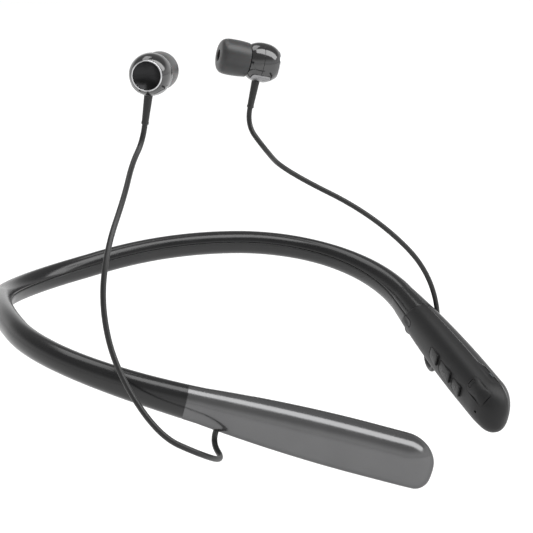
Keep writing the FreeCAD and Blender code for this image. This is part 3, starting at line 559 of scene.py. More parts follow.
@dataclass(frozen=True)
class ArmForm:
    """One side's outer form, band and pod in one, by place from their joint.

    Places are negative along the band and run to the pod's tip.
    """

    route: CollarRoute
    side: Side
    band_half_width: float = 3.5 * MM
    band_half_height: float = 3.75 * MM
    band_swell_run: float = 45 * MM
    joint_half_width: float = 4.0 * MM
    joint_half_height: float = 5.0 * MM
    half_width: float = 6.0 * MM
    half_height: float = 7.3 * MM
    length: float = 67.0 * MM
    swell_run: float = 48.0 * MM
    boxiness: float = 0.3
    tip_top_run: float = 9.5 * MM
    tip_top_drop: float = 8.3 * MM
    tip_low_radius: float = 4.3 * MM
    tip_side_run: float = 9.6 * MM

    def local(self) -> Local:
        """The pod's own place: x along it, y outward and z up."""
        frame = self.route.frames(np.array([self.route.length]), self.side)
        return Local(frame.point[0], frame.along[0], frame.outward[0], frame.up[0])

    def sections(self, places: np.ndarray) -> Sections:
        """Sections at places: the band swells into the joint and the pod on from it.

        The band's growth is (1 - d / run)^2 at a distance d before the joint, the
        pod's is s(2 - s). At the tip the top falls by drop (1 - sqrt(1 - s^2)), the
        underside rises by a quarter round and the sides close by a quarter ellipse.

        Args:
            places: places along the arm, any shape.

        Returns:
            The sections there.
        """
        arrive = np.clip(1 + places / self.band_swell_run, 0.0, 1.0) ** 2
        swell = ease(places / self.swell_run)
        width = self.band_half_width + (self.joint_half_width - self.band_half_width) * arrive
        width = width + (self.half_width - self.joint_half_width) * swell
        height = self.band_half_height + (self.joint_half_height - self.band_half_height) * arrive
        height = height + (self.half_height - self.joint_half_height) * swell
        end = self.length
        drop = self.tip_top_drop * (1 - quarter((places - end + self.tip_top_run) / self.tip_top_run))
        low = self.tip_low_radius
        lift = low * (1 - quarter((places - end + low) / low))
        side = quarter((places - end + self.tip_side_run) / self.tip_side_run)
        return Sections(width * side, height - drop, lift - height, self.boxiness * swell)

    def points(self, places: np.ndarray, angles: np.ndarray, rise: np.ndarray | float = 0.0) -> np.ndarray:
        """World points of the surface, lifted by rise along the section's own radius.

        Args:
            places: places along the arm, (n, m).
            angles: angles round it, (n, m).
            rise: heights over the surface.

        Returns:
            Points (n, m, 3).
        """
        places = np.broadcast_to(places, angles.shape)
        out, up = self.sections(places).offsets(angles)
        grow = 1 + rise / np.maximum(np.hypot(out, up), 0.4 * MM)
        level = 1 / math.hypot(1.0, self.route.pod_slope)
        runs = self.route.length + np.where(places > 0, places * level, places).ravel()
        frames = self.route.frames(runs, self.side)
        flat = [(offset * grow).reshape(-1, 1) for offset in (out, up)]
        return frames.place(np.zeros_like(flat[0]), *flat).reshape(*angles.shape, 3)

    def depth_of(self, points: np.ndarray, out: np.ndarray) -> np.ndarray:
        """How far local points lie under the pod's skin along a direction.

        The skin is where |y / w|^n + |(z - m) / h|^n = 1 with n = 2 + boxiness, found
        by halving the span from 0 to 12 mm thirty times.

        Args:
            points: (..., 3) in the pod's own place.
            out: the direction, (3,).

        Returns:
            The distances, (...).
        """
        low, high = np.zeros(points.shape[:-1]), np.full(points.shape[:-1], 12 * MM)
        for _ in range(30):
            middle = (low + high) / 2
            spot = points + middle[..., None] * out
            row = self.sections(np.clip(spot[..., 0], 0, self.length * 0.9999))
            power = 2 + row.boxiness
            half, mid = (row.top - row.bottom) / 2, (row.top + row.bottom) / 2
            form = np.abs(spot[..., 1] / row.half_width) ** power
            form += np.abs((spot[..., 2] - mid) / half) ** power
            low, high = np.where(form < 1, middle, low), np.where(form < 1, high, middle)
        return low


@dataclass(frozen=True)
class Partings:
    """Where band, grey outer shell and black inner shell take over from one another."""

    seam: float = 0.4 * MM
    jog: float = 1.5 * MM
    outer_start: float = -4.5 * MM
    outer_slope: float = -0.09
    inner_start: float = 9.9 * MM
    inner_slope: float = 0.5
    setbacks_mm: tuple[float, ...] = (90, 19, 16.5, 9, 6, 3, 0)
    jog_shares: tuple[float, ...] = (0, 0, 1, 1.07, 1.27, 1.5, 1.5)

    def seam_line(self, form: ArmForm, places: np.ndarray) -> np.ndarray:
        """Outward place of the shells' parting line: straight, with a jog near the left tip.

        Args:
            form: the pod's outer form.
            places: places along the arm.

        Returns:
            Outward offsets at those places.
        """
        if form.side is Side.RIGHT:
            return np.full_like(places, self.seam)
        spots = form.length - np.array(self.setbacks_mm) * MM
        return self.seam + np.interp(places, spots, self.jog * np.array(self.jog_shares))


PARTINGS = Partings()


# ------------------------------------------------------------------ finishes
@dataclass(frozen=True)
class Moulded:
    """A moulded or coated surface with the fine grain and uneven gloss of a real one."""

    name: str
    colour: Spot
    roughness: float
    grain: float = 0.25 * MM
    depth: float = 0.004 * MM
    mottle: float = 0.12
    gloss_drift: float = 0.05
    metallic: float = 0.0
    ior: float = 1.5
    soft: float = 0.0
    specular: float = 0.5
    edge: float = 1.0
    ring_pitch: float = 0.0

    def build(self) -> bpy.types.Material:
        """The material: noise in the object's own space drives colour, gloss and bump.

        Returns:
            The material.
        """
        material = bpy.data.materials.new(self.name)
        material.use_nodes = True
        nodes, links = material.node_tree.nodes, material.node_tree.links
        shader = nodes["Principled BSDF"]
        shader.inputs["Metallic"].default_value = self.metallic
        shader.inputs["IOR"].default_value = self.ior
        shader.inputs["Specular IOR Level"].default_value = self.specular
        shader.inputs["Specular Tint"].default_value = (self.edge, self.edge, self.edge, 1)
        shader.inputs["Subsurface Weight"].default_value = self.soft
        shader.inputs["Subsurface Scale"].default_value = 0.5 * MM
        place = nodes.new("ShaderNodeTexCoord")
        fine = nodes.new("ShaderNodeTexNoise")
        fine.inputs["Scale"].default_value = 1 / self.grain
        fine.inputs["Detail"].default_value = 3.0
        broad = nodes.new("ShaderNodeTexNoise")
        broad.inputs["Scale"].default_value = 1 / (9 * MM)
        broad.inputs["Detail"].default_value = 4.0
        for noise in (fine, broad):
            links.new(place.outputs["Object"], noise.inputs["Vector"])
        tint = nodes.new("ShaderNodeValToRGB")
        for stop, share in zip(tint.color_ramp.elements, (1 - self.mottle, 1 + self.mottle)):
            stop.color = (*(min(c * share, 1.0) for c in self.colour), 1.0)
        tint.color_ramp.elements[0].position = 0.3
        tint.color_ramp.elements[1].position = 0.7
        links.new(broad.outputs["Fac"], tint.inputs["Fac"])
        links.new(tint.outputs["Color"], shader.inputs["Base Color"])
        gloss = nodes.new("ShaderNodeMapRange")
        gloss.inputs["To Min"].default_value = max(self.roughness - self.gloss_drift, 0.02)
        gloss.inputs["To Max"].default_value = self.roughness + self.gloss_drift
        links.new(broad.outputs["Fac"], gloss.inputs["Value"])
        links.new(gloss.outputs["Result"], shader.inputs["Roughness"])
        relief = nodes.new("ShaderNodeBump")
        relief.inputs["Distance"].default_value = self.depth
        links.new(fine.outputs["Fac"], relief.inputs["Height"])
        links.new(relief.outputs["Normal"], shader.inputs["Normal"])
        if self.ring_pitch:
            self._add_rings(material, relief)
        return material

    def _add_rings(self, material: bpy.types.Material, relief: bpy.types.Node) -> None:
        """Fine turned rings: a sine of the piece's radius attribute as the bump's height.

        Args:
            material: the material.
            relief: its bump node.
        """
        nodes, links = material.node_tree.nodes, material.node_tree.links
        radius = nodes.new("ShaderNodeAttribute")
        radius.attribute_name = "turned_radius"
        scale = nodes.new("ShaderNodeMath")
        scale.operation = "MULTIPLY"
        scale.inputs[1].default_value = TURN / self.ring_pitch
        wave = nodes.new("ShaderNodeMath")
        wave.operation = "SINE"
        links.new(radius.outputs["Fac"], scale.inputs[0])
        links.new(scale.outputs[0], wave.inputs[0])
        links.new(wave.outputs[0], relief.inputs["Height"])


@dataclass(frozen=True)
class ClearLens:
    """A small clear light pipe with a faint haze."""

    name: str = "lamp_lens"

    def build(self) -> bpy.types.Material:
        """The material: pale, glossy and partly let through.

        Returns:
            The material.
        """
        material = Moulded(self.name, (0.1, 0.11, 0.12), 0.2).build()
        shader = material.node_tree.nodes["Principled BSDF"]
        shader.inputs["Transmission Weight"].default_value = 0.35
        return material


@dataclass(frozen=True)
class WovenMesh:
    """The fine acoustic mesh: a chequer of wires in the object's own space."""

    name: str = "acoustic_mesh"
    pitch: float = 0.22 * MM

    def build(self) -> bpy.types.Material:
        """The material: cells of a Voronoi pattern paint each hole near-black as painted shade inside it,
        and the wires bright.

        Returns:
            The material.
        """
        material = Moulded(self.name, (0.35, 0.35, 0.36), 0.35, metallic=1.0).build()
        nodes, links = material.node_tree.nodes, material.node_tree.links
        place = nodes.new("ShaderNodeTexCoord")
        cells = nodes.new("ShaderNodeTexVoronoi")
        cells.inputs["Scale"].default_value = 1 / self.pitch
        cells.inputs["Randomness"].default_value = 0.0
        # Painted shade: near the cells' middles the mesh turns near-black for the shade inside its holes;
        # the wires stay grey.
        hole_shade_ramp = nodes.new("ShaderNodeValToRGB")
        hole_shade_ramp.color_ramp.elements[0].position = 0.28
        hole_shade_ramp.color_ramp.elements[0].color = (0.01, 0.01, 0.01, 1)
        hole_shade_ramp.color_ramp.elements[1].position = 0.4
        hole_shade_ramp.color_ramp.elements[1].color = (0.5, 0.5, 0.52, 1)
        links.new(place.outputs["Object"], cells.inputs["Vector"])
        links.new(cells.outputs["Distance"], hole_shade_ramp.inputs["Fac"])
        links.new(hole_shade_ramp.outputs["Color"], nodes["Principled BSDF"].inputs["Base Color"])
        return material


class Finishes:
    """Every finish on the object, made once."""

    def __init__(self) -> None:
        """Build the materials."""
        self.band = Moulded("band_gloss_skin", (0.012, 0.012, 0.0125), 0.2).build()
        self.strip = Moulded("neck_strip_skin", (0.018, 0.018, 0.0185), 0.34).build()
        self.grey = Moulded(
            "pod_grey_gloss", (0.15, 0.15, 0.152), 0.19, metallic=0.75, mottle=0.04, edge=0.35
        ).build()
        self.black = Moulded(
            "pod_black_matte", (0.016, 0.016, 0.0165), 0.46, 0.18 * MM, 0.01 * MM, specular=0.3
        ).build()
        self.key = Moulded("key_satin", (0.015, 0.015, 0.0155), 0.44, specular=0.3).build()
        self.glyph = Moulded("glyph_grey", (0.07, 0.07, 0.07), 0.5).build()
        self.flap = Moulded("soft_black_rubber", (0.016, 0.016, 0.016), 0.5, depth=0.012 * MM).build()
        self.cover = Moulded("cover_satin", (0.017, 0.017, 0.0175), 0.42, specular=0.32).build()
        self.cord = Moulded("cord_jacket", (0.012, 0.012, 0.012), 0.42, grain=0.3 * MM).build()
        self.chrome = Moulded(
            "bezel_chrome", (0.62, 0.62, 0.63), 0.12, metallic=1.0, mottle=0.02, gloss_drift=0.02
        ).build()
        self.dish = Moulded(
            "dish_dark_metal", (0.03, 0.03, 0.031), 0.24, metallic=1.0, ring_pitch=0.16 * MM, edge=0.4
        ).build()
        self.gunmetal = Moulded(
            "bud_gunmetal", (0.012, 0.012, 0.0125), 0.11, ior=1.85, gloss_drift=0.02
        ).build()
        self.saddle = Moulded("saddle_satin", (0.34, 0.34, 0.345), 0.36, metallic=1.0).build()
        self.silicone = Moulded("tip_silicone", (0.045, 0.045, 0.046), 0.36, soft=0.15).build()
        # Near-black painted shade for recesses: the seam round each saddle cap and the microphone behind
        # its hole.
        self.hole = Moulded("dark_recess", (0.003, 0.003, 0.003), 0.7).build()
        self.lens = ClearLens().build()
        self.mesh = WovenMesh().build()
        self.steel = Moulded("plain_steel", (0.55, 0.55, 0.56), 0.3, metallic=1.0).build()
        self.board = Moulded("solder_mask", (0.01, 0.09, 0.03), 0.35).build()
        self.foil = Moulded("cell_foil", (0.2, 0.21, 0.25), 0.4, metallic=0.6).build()


def dress(piece: bpy.types.Object, material: bpy.types.Material, body: str = "headset") -> None:
    """Give a piece its material and the body it rides on.

    Args:
        piece: the piece.
        material: the material.
        body: the body that it rides on.
    """
    piece.data.materials.clear()
    piece.data.materials.append(material)
    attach(piece, body)
    LOG.info("%s rides on %s", piece.name, body)


# ------------------------------------------------------------------ collar band
@dataclass
class Band:
    """The hollow band: a moulded cover and the softer strip that lies on the neck."""

    route: CollarRoute
    wall: float = 1.2 * MM
    strip_top_deg: float = 168.0
    strip_low_deg: float = 262.0
    groove: float = 0.22 * MM
    tuck: float = 0.35 * MM
    rows_per_side: int = 170
    tail_rows: int = 80
    tail_run: float = 8 * MM
    edge_gap: float = 0.06 * MM
    edge_steps: tuple[float, ...] = (0, 0.15, 0.35, 0.6, 1.0)

    def places(self, form: ArmForm, angles: np.ndarray) -> tuple[np.ndarray, np.ndarray]:
        """Places of the rows for each angle, and where the band ends at each angle.

        The rows are level up to tail_run before the joint and then spread evenly to
        the end, which follows the black shell's slanted edge.

        Args:
            form: the pod's outer form.
            angles: angles round the section, (1, m).

        Returns:
            Places (n, m) and ends (1, m).
        """
        up = form.sections(np.array([PARTINGS.inner_start])).offsets(angles)[1]
        end = PARTINGS.inner_start + PARTINGS.inner_slope * up + self.tuck
        whole = self.route.length
        level = -whole + (whole - self.tail_run) * np.linspace(0, 1, self.rows_per_side) ** 0.95
        share = np.linspace(0, 1, self.tail_rows)[1:, None]
        tail = -self.tail_run + (end + self.tail_run) * share
        return np.concatenate([level[:, None] + 0 * end, tail]), end

    def strip_points(self, side: Side, start_deg: float, end_deg: float) -> np.ndarray:
        """Rows round one strip on one side.

        Along the loop, u goes over the outer face and back over the inner one; near
        the strip's edges the outer face sinks by groove (1 - sqrt(1 - s^2)), and
        where a pod shell covers it, by tuck.

        Args:
            side: the wearer's side.
            start_deg: where the strip starts round the section.
            end_deg: where it ends, further round.

        Returns:
            World points (n, m, 3), a closed row at each place.
        """
        form = ArmForm(self.route, side)
        low, high = math.radians(start_deg), math.radians(end_deg)
        gap = self.edge_gap / form.band_half_height
        edge = np.array(self.edge_steps) * self.groove * 1.6 / form.band_half_height
        count = int((high - low) / 0.05)
        middle = np.linspace(low + edge[-1] + gap, high - edge[-1] - gap, count)[1:-1]
        outer = np.concatenate([low + gap + edge, middle, high - gap - edge[::-1]])[None]
        reach = np.minimum(outer - low - gap, high - gap - outer) / edge[-1]
        sink = self.groove * (1 - quarter(1 - np.clip(reach, 0, 1)))
        places, end = self.places(form, outer)
        outward = form.sections(places).offsets(outer)[0]
        start = PARTINGS.outer_start
        grey = smooth(places, start + 0.1 * MM, start + 0.8 * MM)
        grey = grey * smooth(outward, PARTINGS.seam - 0.1 * MM, PARTINGS.seam + 0.9 * MM)
        black = smooth(places, end - self.tuck, end)
        sink = sink + self.tuck * np.maximum(grey, black)
        skin = form.points(places, outer + 0 * places, -sink)
        inner = np.linspace(high - gap, low + gap, 16)[None]
        places, _ = self.places(form, inner)
        return np.concatenate([skin, form.points(places, inner + 0 * places, -self.wall)], axis=1)

    def strip(self, name: str, start_deg: float, end_deg: float) -> bpy.types.Object:
        """One strip from the left pod round the nape to the right pod.

        Args:
            name: the piece's name.
            start_deg: where the strip starts round the section.
            end_deg: where it ends, further round.

        Returns:
            The strip, closed at both ends.
        """
        left = self.strip_points(Side.LEFT, start_deg, end_deg)[::-1]
        right = self.strip_points(Side.RIGHT, start_deg, end_deg)[1:]
        return loft(name, np.concatenate([left, right]))

    def build(self, finishes: Finishes) -> None:
        """Make both strips in place of their plain solids.

        Args:
            finishes: the object's finishes.
        """
        cover = self.strip("band_cover_skin", self.strip_low_deg, self.strip_top_deg + 360)
        sharpen(cover)
        dress(cover, finishes.band)
        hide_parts("band_cover")
        strip = self.strip("neck_strip_skin", self.strip_top_deg, self.strip_low_deg)
        dress(strip, finishes.strip)
        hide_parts("neck_strip")


# ------------------------------------------------------------------ pods
@dataclass(frozen=True)
class Seat:
    """A place on a pod seen square on: x along the pod, y across and z out of the skin."""

    form: ArmForm
    middle: Spot
    across: Spot
    out: Spot

    def points(self, flat: np.ndarray, height: np.ndarray) -> np.ndarray:
        """World points over flat ones (..., 2), at heights above the skin there.

        Args:
            flat: points (..., 2) along the pod and across it.
            height: heights over the skin, (...).

        Returns:
            World points (..., 3).
        """
        base = np.array(self.middle) + flat[..., :1] * np.array([1.0, 0.0, 0.0])
        base = base + flat[..., 1:] * np.array(self.across)
        out = np.array(self.out)
        depth = self.form.depth_of(base, out) + height
        return self.form.local().world(base + depth[..., None] * out)


def slab(
    name: str, seat: Seat, outline: np.ndarray, low: float, rise: Height, edge: float = 0.0
) -> bpy.types.Object:
    """A closed slab over an outline, its top following the skin.

    Rings shrink evenly from the outline to its middle; the last of them turn down a
    quarter round: inset edge (1 - sin a), drop edge (1 - cos a).

    Args:
        name: the piece's name.
        seat: the place it lies on.
        outline: (m, 2) points round it, anticlockwise.
        low: height of its underside over the skin.
        rise: height of its top over the skin, a function of flat points.
        edge: radius of its top edge.

    Returns:
        The slab.
    """
    tangent = np.roll(outline, -1, axis=0) - np.roll(outline, 1, axis=0)
    normal = np.stack([tangent[:, 1], -tangent[:, 0]], axis=1)
    normal /= np.linalg.norm(normal, axis=1, keepdims=True)
    inner, centre = outline - normal * edge, outline.mean(axis=0)
    flats = [centre + (inner - centre) * share for share in np.linspace(0, 1, 12)]
    drops = [0.0] * len(flats)
    for angle in np.linspace(0, math.pi / 2, 6)[1:] if edge else ():
        flats.append(inner + normal * edge * math.sin(angle))
        drops.append(edge * (1 - math.cos(angle)))
    rows = [seat.points(flat, rise(flat) - drop) for flat, drop in zip(flats, drops)]
    for share in (1.0, 0.6, 0.0):
        flat = centre + (outline - centre) * share
        rows.append(seat.points(flat, np.full(len(flat), low)))
    points = np.stack(rows)
    return make_mesh(name, points, grid_faces(*points.shape[:2], False, True), [])


def stroke(
    name: str, seat: Seat, spine: np.ndarray, half_width: np.ndarray, low: Height, rise: Height
) -> bpy.types.Object:
    """A raised mark: a bar of given half width drawn along a spine (k, 2).

    Args:
        name: the piece's name.
        seat: the place on the pod.
        spine: (k, 2) flat points along the bar.
        half_width: half widths along it, (k,).
        low: height of its foot over the skin, a function of flat points.
        rise: height of its face, likewise.

    Returns:
        The bar.
    """
    tangent = np.gradient(spine, axis=0)
    tangent /= np.linalg.norm(tangent, axis=1, keepdims=True)
    side = np.stack([-tangent[:, 1], tangent[:, 0]], axis=1) * half_width[:, None]
    rows = []
    for share, height in ((-1, low), (-0.9, rise), (0.9, rise), (1, low)):
        flat = spine + side * share
        rows.append(seat.points(flat, height(flat)))
    return loft(name, np.stack(rows, axis=1))


def rounded_box(a: float, b: float, r: float) -> np.ndarray:
    """A rectangle of half sides a and b with quarter circles of radius r, (36, 2).

    Args:
        a: half side along the pod.
        b: half side across it.
        r: the corners' radius.

    Returns:
        The points, anticlockwise.
    """
    turn = np.radians(np.linspace(0, 90, 9))
    parts = []
    for quadrant, (sx, sy) in enumerate(((1, 1), (-1, 1), (-1, -1), (1, -1))):
        angle = turn + quadrant * math.pi / 2
        x, y = sx * (a - r) + r * np.cos(angle), sy * (b - r) + r * np.sin(angle)
        parts.append(np.stack([x, y], axis=1))
    return np.concatenate(parts)


class Glyph(Enum):
    """The generic marks on the keys."""

    MINUS = "minus"
    HANDSET = "handset"
    PLUS = "plus"

    def spines(self) -> list[tuple[np.ndarray, np.ndarray]]:
        """Each stroke's spine and half widths.

        Returns:
            Pairs of flat points (k, 2) and half widths (k,).
        """
        reach, thin = 0.85 * MM, 0.16 * MM
        line = np.linspace(-reach, reach, 9)
        width = np.full(9, thin)
        level = np.stack([line, 0 * line], axis=1)
        if self is Glyph.HANDSET:
            angle = np.radians(np.linspace(205, 335, 25))
            arc = 1.25 * MM * np.stack([np.cos(angle), np.sin(angle) + 0.65], axis=1)
            ends = np.abs(np.linspace(-1, 1, 25))
            return [(arc, thin + 0.26 * MM * smooth(ends, 0.6, 0.8))]
        if self is Glyph.PLUS:
            return [(level, width), (level[:, ::-1].copy(), width)]
        return [(level, width)]


@dataclass(frozen=True)
class Key:
    """A ramped key: flush at its band end and proud at its tip end, like a shingle."""

    node: str
    body: str
    start: float
    length: float
    lift: float
    glyph: Glyph
    height: float = 4.0 * MM
    clearance: float = 0.09 * MM
    low: float = -0.02 * MM
    high: float = 0.75 * MM
    ramp_share: float = 0.86
    crown: float = 0.12 * MM
    corner: float = 1.0 * MM
    edge: float = 0.16 * MM
    depth: float = 2.2 * MM
    mark_sunk: float = 0.1 * MM
    mark_proud: float = 0.05 * MM

    def seat(self, form: ArmForm) -> Seat:
        """The key's place on the inner side of the pod."""
        return Seat(form, (self.start + self.length / 2, 0, self.lift), (0, 0, 1), (0, -1, 0))

    def outline(self, grow: float) -> np.ndarray:
        """The key's outline, grown evenly."""
        return rounded_box(self.length / 2 + grow, self.height / 2 + grow, self.corner + grow)

    def ramp(self, flat: np.ndarray) -> np.ndarray:
        """Height over the skin: an even climb, with a slight crown from side to side.

        Args:
            flat: points (..., 2) along the pod and across it.

        Returns:
            Heights, (...).
        """
        share = np.clip((flat[..., 0] / self.length + 0.5) / self.ramp_share, 0, 1)
        fall = self.crown * (2 * flat[..., 1] / self.height) ** 2
        return self.low + (self.high - self.low) * share - fall

    def mark_foot(self, flat: np.ndarray) -> np.ndarray:
        """Height of a mark's foot, just inside the cap."""
        return self.ramp(flat) - self.mark_sunk

    def mark_face(self, flat: np.ndarray) -> np.ndarray:
        """Height of a mark's face, just above the cap."""
        return self.ramp(flat) + self.mark_proud

    def cutter(self, form: ArmForm) -> bpy.types.Object:
        """The opening's cutter."""
        name = f"{self.node}_cutter"
        return slab(name, self.seat(form), self.outline(0), -CUT_DEPTH, even(CUT_HEIGHT))

    def build(self, form: ArmForm, finishes: Finishes) -> None:
        """The cap and its mark, both moving with the key's body.

        Args:
            form: the pod's outer form.
            finishes: the object's finishes.
        """
        seat, outline = self.seat(form), self.outline(-self.clearance)
        cap = slab(f"{self.node}_cap", seat, outline, -self.depth, self.ramp, self.edge)
        dress(cap, finishes.key, self.body)
        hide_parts(self.node)
        for number, (spine, width) in enumerate(self.glyph.spines()):
            name = f"{self.node}_mark_{number}"
            mark = stroke(name, seat, spine, width, self.mark_foot, self.mark_face)
            sharpen(mark, 32)
            dress(mark, finishes.glyph, self.body)


@dataclass(frozen=True)
class PowerButton:
    """The small oval power button near the band."""

    place: float = 12.9 * MM
    drop: float = 0.3 * MM
    half_length: float = 2.5 * MM
    radius: float = 1.3 * MM
    clearance: float = 0.15 * MM
    sunk: float = 0.12 * MM
    dishing: float = 0.14 * MM
    edge: float = 0.18 * MM
    depth: float = 1.6 * MM

    def seat(self, form: ArmForm) -> Seat:
        """The button's place on the inner side of the pod."""
        return Seat(form, (self.place, 0, self.drop), (0, 0, 1), (0, -1, 0))

    def outline(self, grow: float) -> np.ndarray:
        """The button's round-ended outline, grown evenly."""
        return stadium_loop(self.half_length + grow, self.radius + grow, 48)

    def crown(self, flat: np.ndarray) -> np.ndarray:
        """Height over the skin: sunk in the middle and higher by the dishing at the rim."""
        far = np.hypot(flat[..., 0] / self.half_length, flat[..., 1] / self.radius)
        return -self.sunk + self.dishing * smooth(far, 0.2, 0.8)

    def cutter(self, form: ArmForm) -> bpy.types.Object:
        """The opening's cutter."""
        return slab("power_cutter", self.seat(form), self.outline(0), -CUT_DEPTH, even(CUT_HEIGHT))

    def build(self, form: ArmForm, finishes: Finishes) -> None:
        """A crowned cap, its middle dished for the fingertip.

        Args:
            form: the pod's outer form.
            finishes: the object's finishes.
        """
        outline = self.outline(-self.clearance)
        cap = slab("power_cap", self.seat(form), outline, -self.depth, self.crown, self.edge)
        dress(cap, finishes.key, "power")
        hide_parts("power_button")


@dataclass(frozen=True)
class PortCover:
    """The hinged cover over the slanted charging port, with the well it closes."""

    setback: float = 8.6 * MM
    half_length: float = 5.2 * MM
    radius: float = 2.5 * MM
    thickness: float = 1.0 * MM
    clearance: float = 0.03 * MM
    hinge_place: float = 4.2 * MM
    lean_deg: float = 45.0
    tab: Spot = (0.85 * MM, 1.35 * MM, 0.4 * MM)
    tab_setback: float = 1.5 * MM
    tab_clearance: float = 0.15 * MM
    tab_edge: float = 0.08 * MM
    crown: float = 0.16 * MM
    sunk: float = 0.02 * MM
    edge: float = 0.04 * MM
    plug: tuple[float, float] = (3.2 * MM, 0.9 * MM)
    plug_levels: tuple[float, float] = (4.5 * MM, 5.6 * MM)
    plug_edge: float = 0.15 * MM
    socket: tuple[float, float] = (3.95 * MM, 1.65 * MM)
    floor_grow: float = 0.5 * MM
    floor_levels: tuple[float, float] = (-1.9 * MM, -1.15 * MM)
    cut_reach: float = 9 * MM

    def seat(self, form: ArmForm) -> Seat:
        """The port's place: it leans halfway from the top to the inner side."""
        half = math.sqrt(0.5)
        return Seat(form, (form.length - self.setback, 0, 0), (0, half, half), (0, -half, half))

    def place(self, form: ArmForm) -> Local:
        """The same place as a rigid one on the pod's middle line: z out of the port."""
        return form.local().turned_x(self.lean_deg, (form.length - self.setback, 0, 0))

    def outline(self, grow: float) -> np.ndarray:
        """The cover's round-ended outline."""
        return stadium_loop(self.half_length + grow, self.radius + grow, 72)

    def bulge(self, flat: np.ndarray) -> np.ndarray:
        """Height over the skin: crown (1 - (x/a)^2)(1 - (y/b)^2), nearly flush at its edge.

        Args:
            flat: points (..., 2) along the pod and across it.

        Returns:
            Heights, (...).
        """
        along, across = flat[..., 0] / self.half_length, flat[..., 1] / self.radius
        rise = np.clip(1 - along**2, 0, 1) * np.clip(1 - across**2, 0, 1)
        return self.crown * rise - self.sunk

    def cutter(self, form: ArmForm) -> bpy.types.Object:
        """The well's cutter, right through the shell."""
        outline = self.outline(self.clearance)
        return slab("cover_cutter", self.seat(form), outline, -CUT_DEPTH, even(CUT_HEIGHT))

    def tab_outline(self, shrink: float) -> np.ndarray:
        """The pull tab's outline, or with no shrink that of its notch.

        Args:
            shrink: how much is taken off each half side.

        Returns:
            Points (36, 2).
        """
        half_long, half_wide, corner = (size - shrink for size in self.tab)
        shift = np.array([self.half_length - self.tab_setback, 0])
        return rounded_box(half_long, half_wide, corner) - shift

    def build_cap(self, form: ArmForm, finishes: Finishes) -> None:
        """The cap that swings, notched for its pull tab and cut straight at the hinge.

        Args:
            form: the pod's outer form.
            finishes: the object's finishes.
        """
        outline = self.outline(0)
        outline[:, 0] = np.minimum(outline[:, 0], self.hinge_place)
        seat = self.seat(form)
        cap = slab("port_cover_cap", seat, outline, -self.thickness, self.bulge, self.edge)
        notch = self.tab_outline(0.0)
        carve(cap, [column("tab_cutter", self.place(form), notch, CUT_HEIGHT, self.cut_reach)])
        sharpen(cap)
        dress(cap, finishes.cover, "port_flap")
        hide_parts("port_cover")

    def build_root(self, form: ArmForm, finishes: Finishes) -> None:
        """The end beyond the hinge, which stays on the pod: a segment of a circle.

        Args:
            form: the pod's outer form.
            finishes: the object's finishes.
        """
        bend = self.half_length - self.radius
        reach = math.acos((self.hinge_place + self.clearance - bend) / self.radius)
        turn = np.linspace(-reach, reach, 30)
        arc = self.radius * np.stack([np.cos(turn), np.sin(turn)], axis=1) + np.array([bend, 0])
        seat = self.seat(form)
        root = slab("port_cover_root", seat, arc, -self.thickness, self.bulge, self.edge)
        dress(root, finishes.cover)

    def build(self, form: ArmForm, finishes: Finishes) -> None:
        """The cap, its root, its pull tab, the plug under it and the well's floor.

        Args:
            form: the pod's outer form.
            finishes: the object's finishes.
        """
        self.build_cap(form, finishes)
        self.build_root(form, finishes)
        seat, place = self.seat(form), self.place(form)
        outline = self.tab_outline(self.tab_clearance)
        tab = slab("port_cover_tab", seat, outline, -self.thickness, self.bulge, self.tab_edge)
        dress(tab, finishes.cover, "port_flap")
        plug = column("port_cover_plug", place, stadium_loop(*self.plug, 48), *self.plug_levels)
        soften(plug, self.plug_edge)
        dress(plug, finishes.flap, "port_flap")
        low, high = self.floor_levels
        floor = slab("port_well_floor", seat, self.outline(self.floor_grow), low, even(high))
        hole = column("socket_cutter", place, stadium_loop(*self.socket, 48), 0, self.cut_reach)
        carve(floor, [hole])
        sharpen(floor)
        dress(floor, finishes.black)


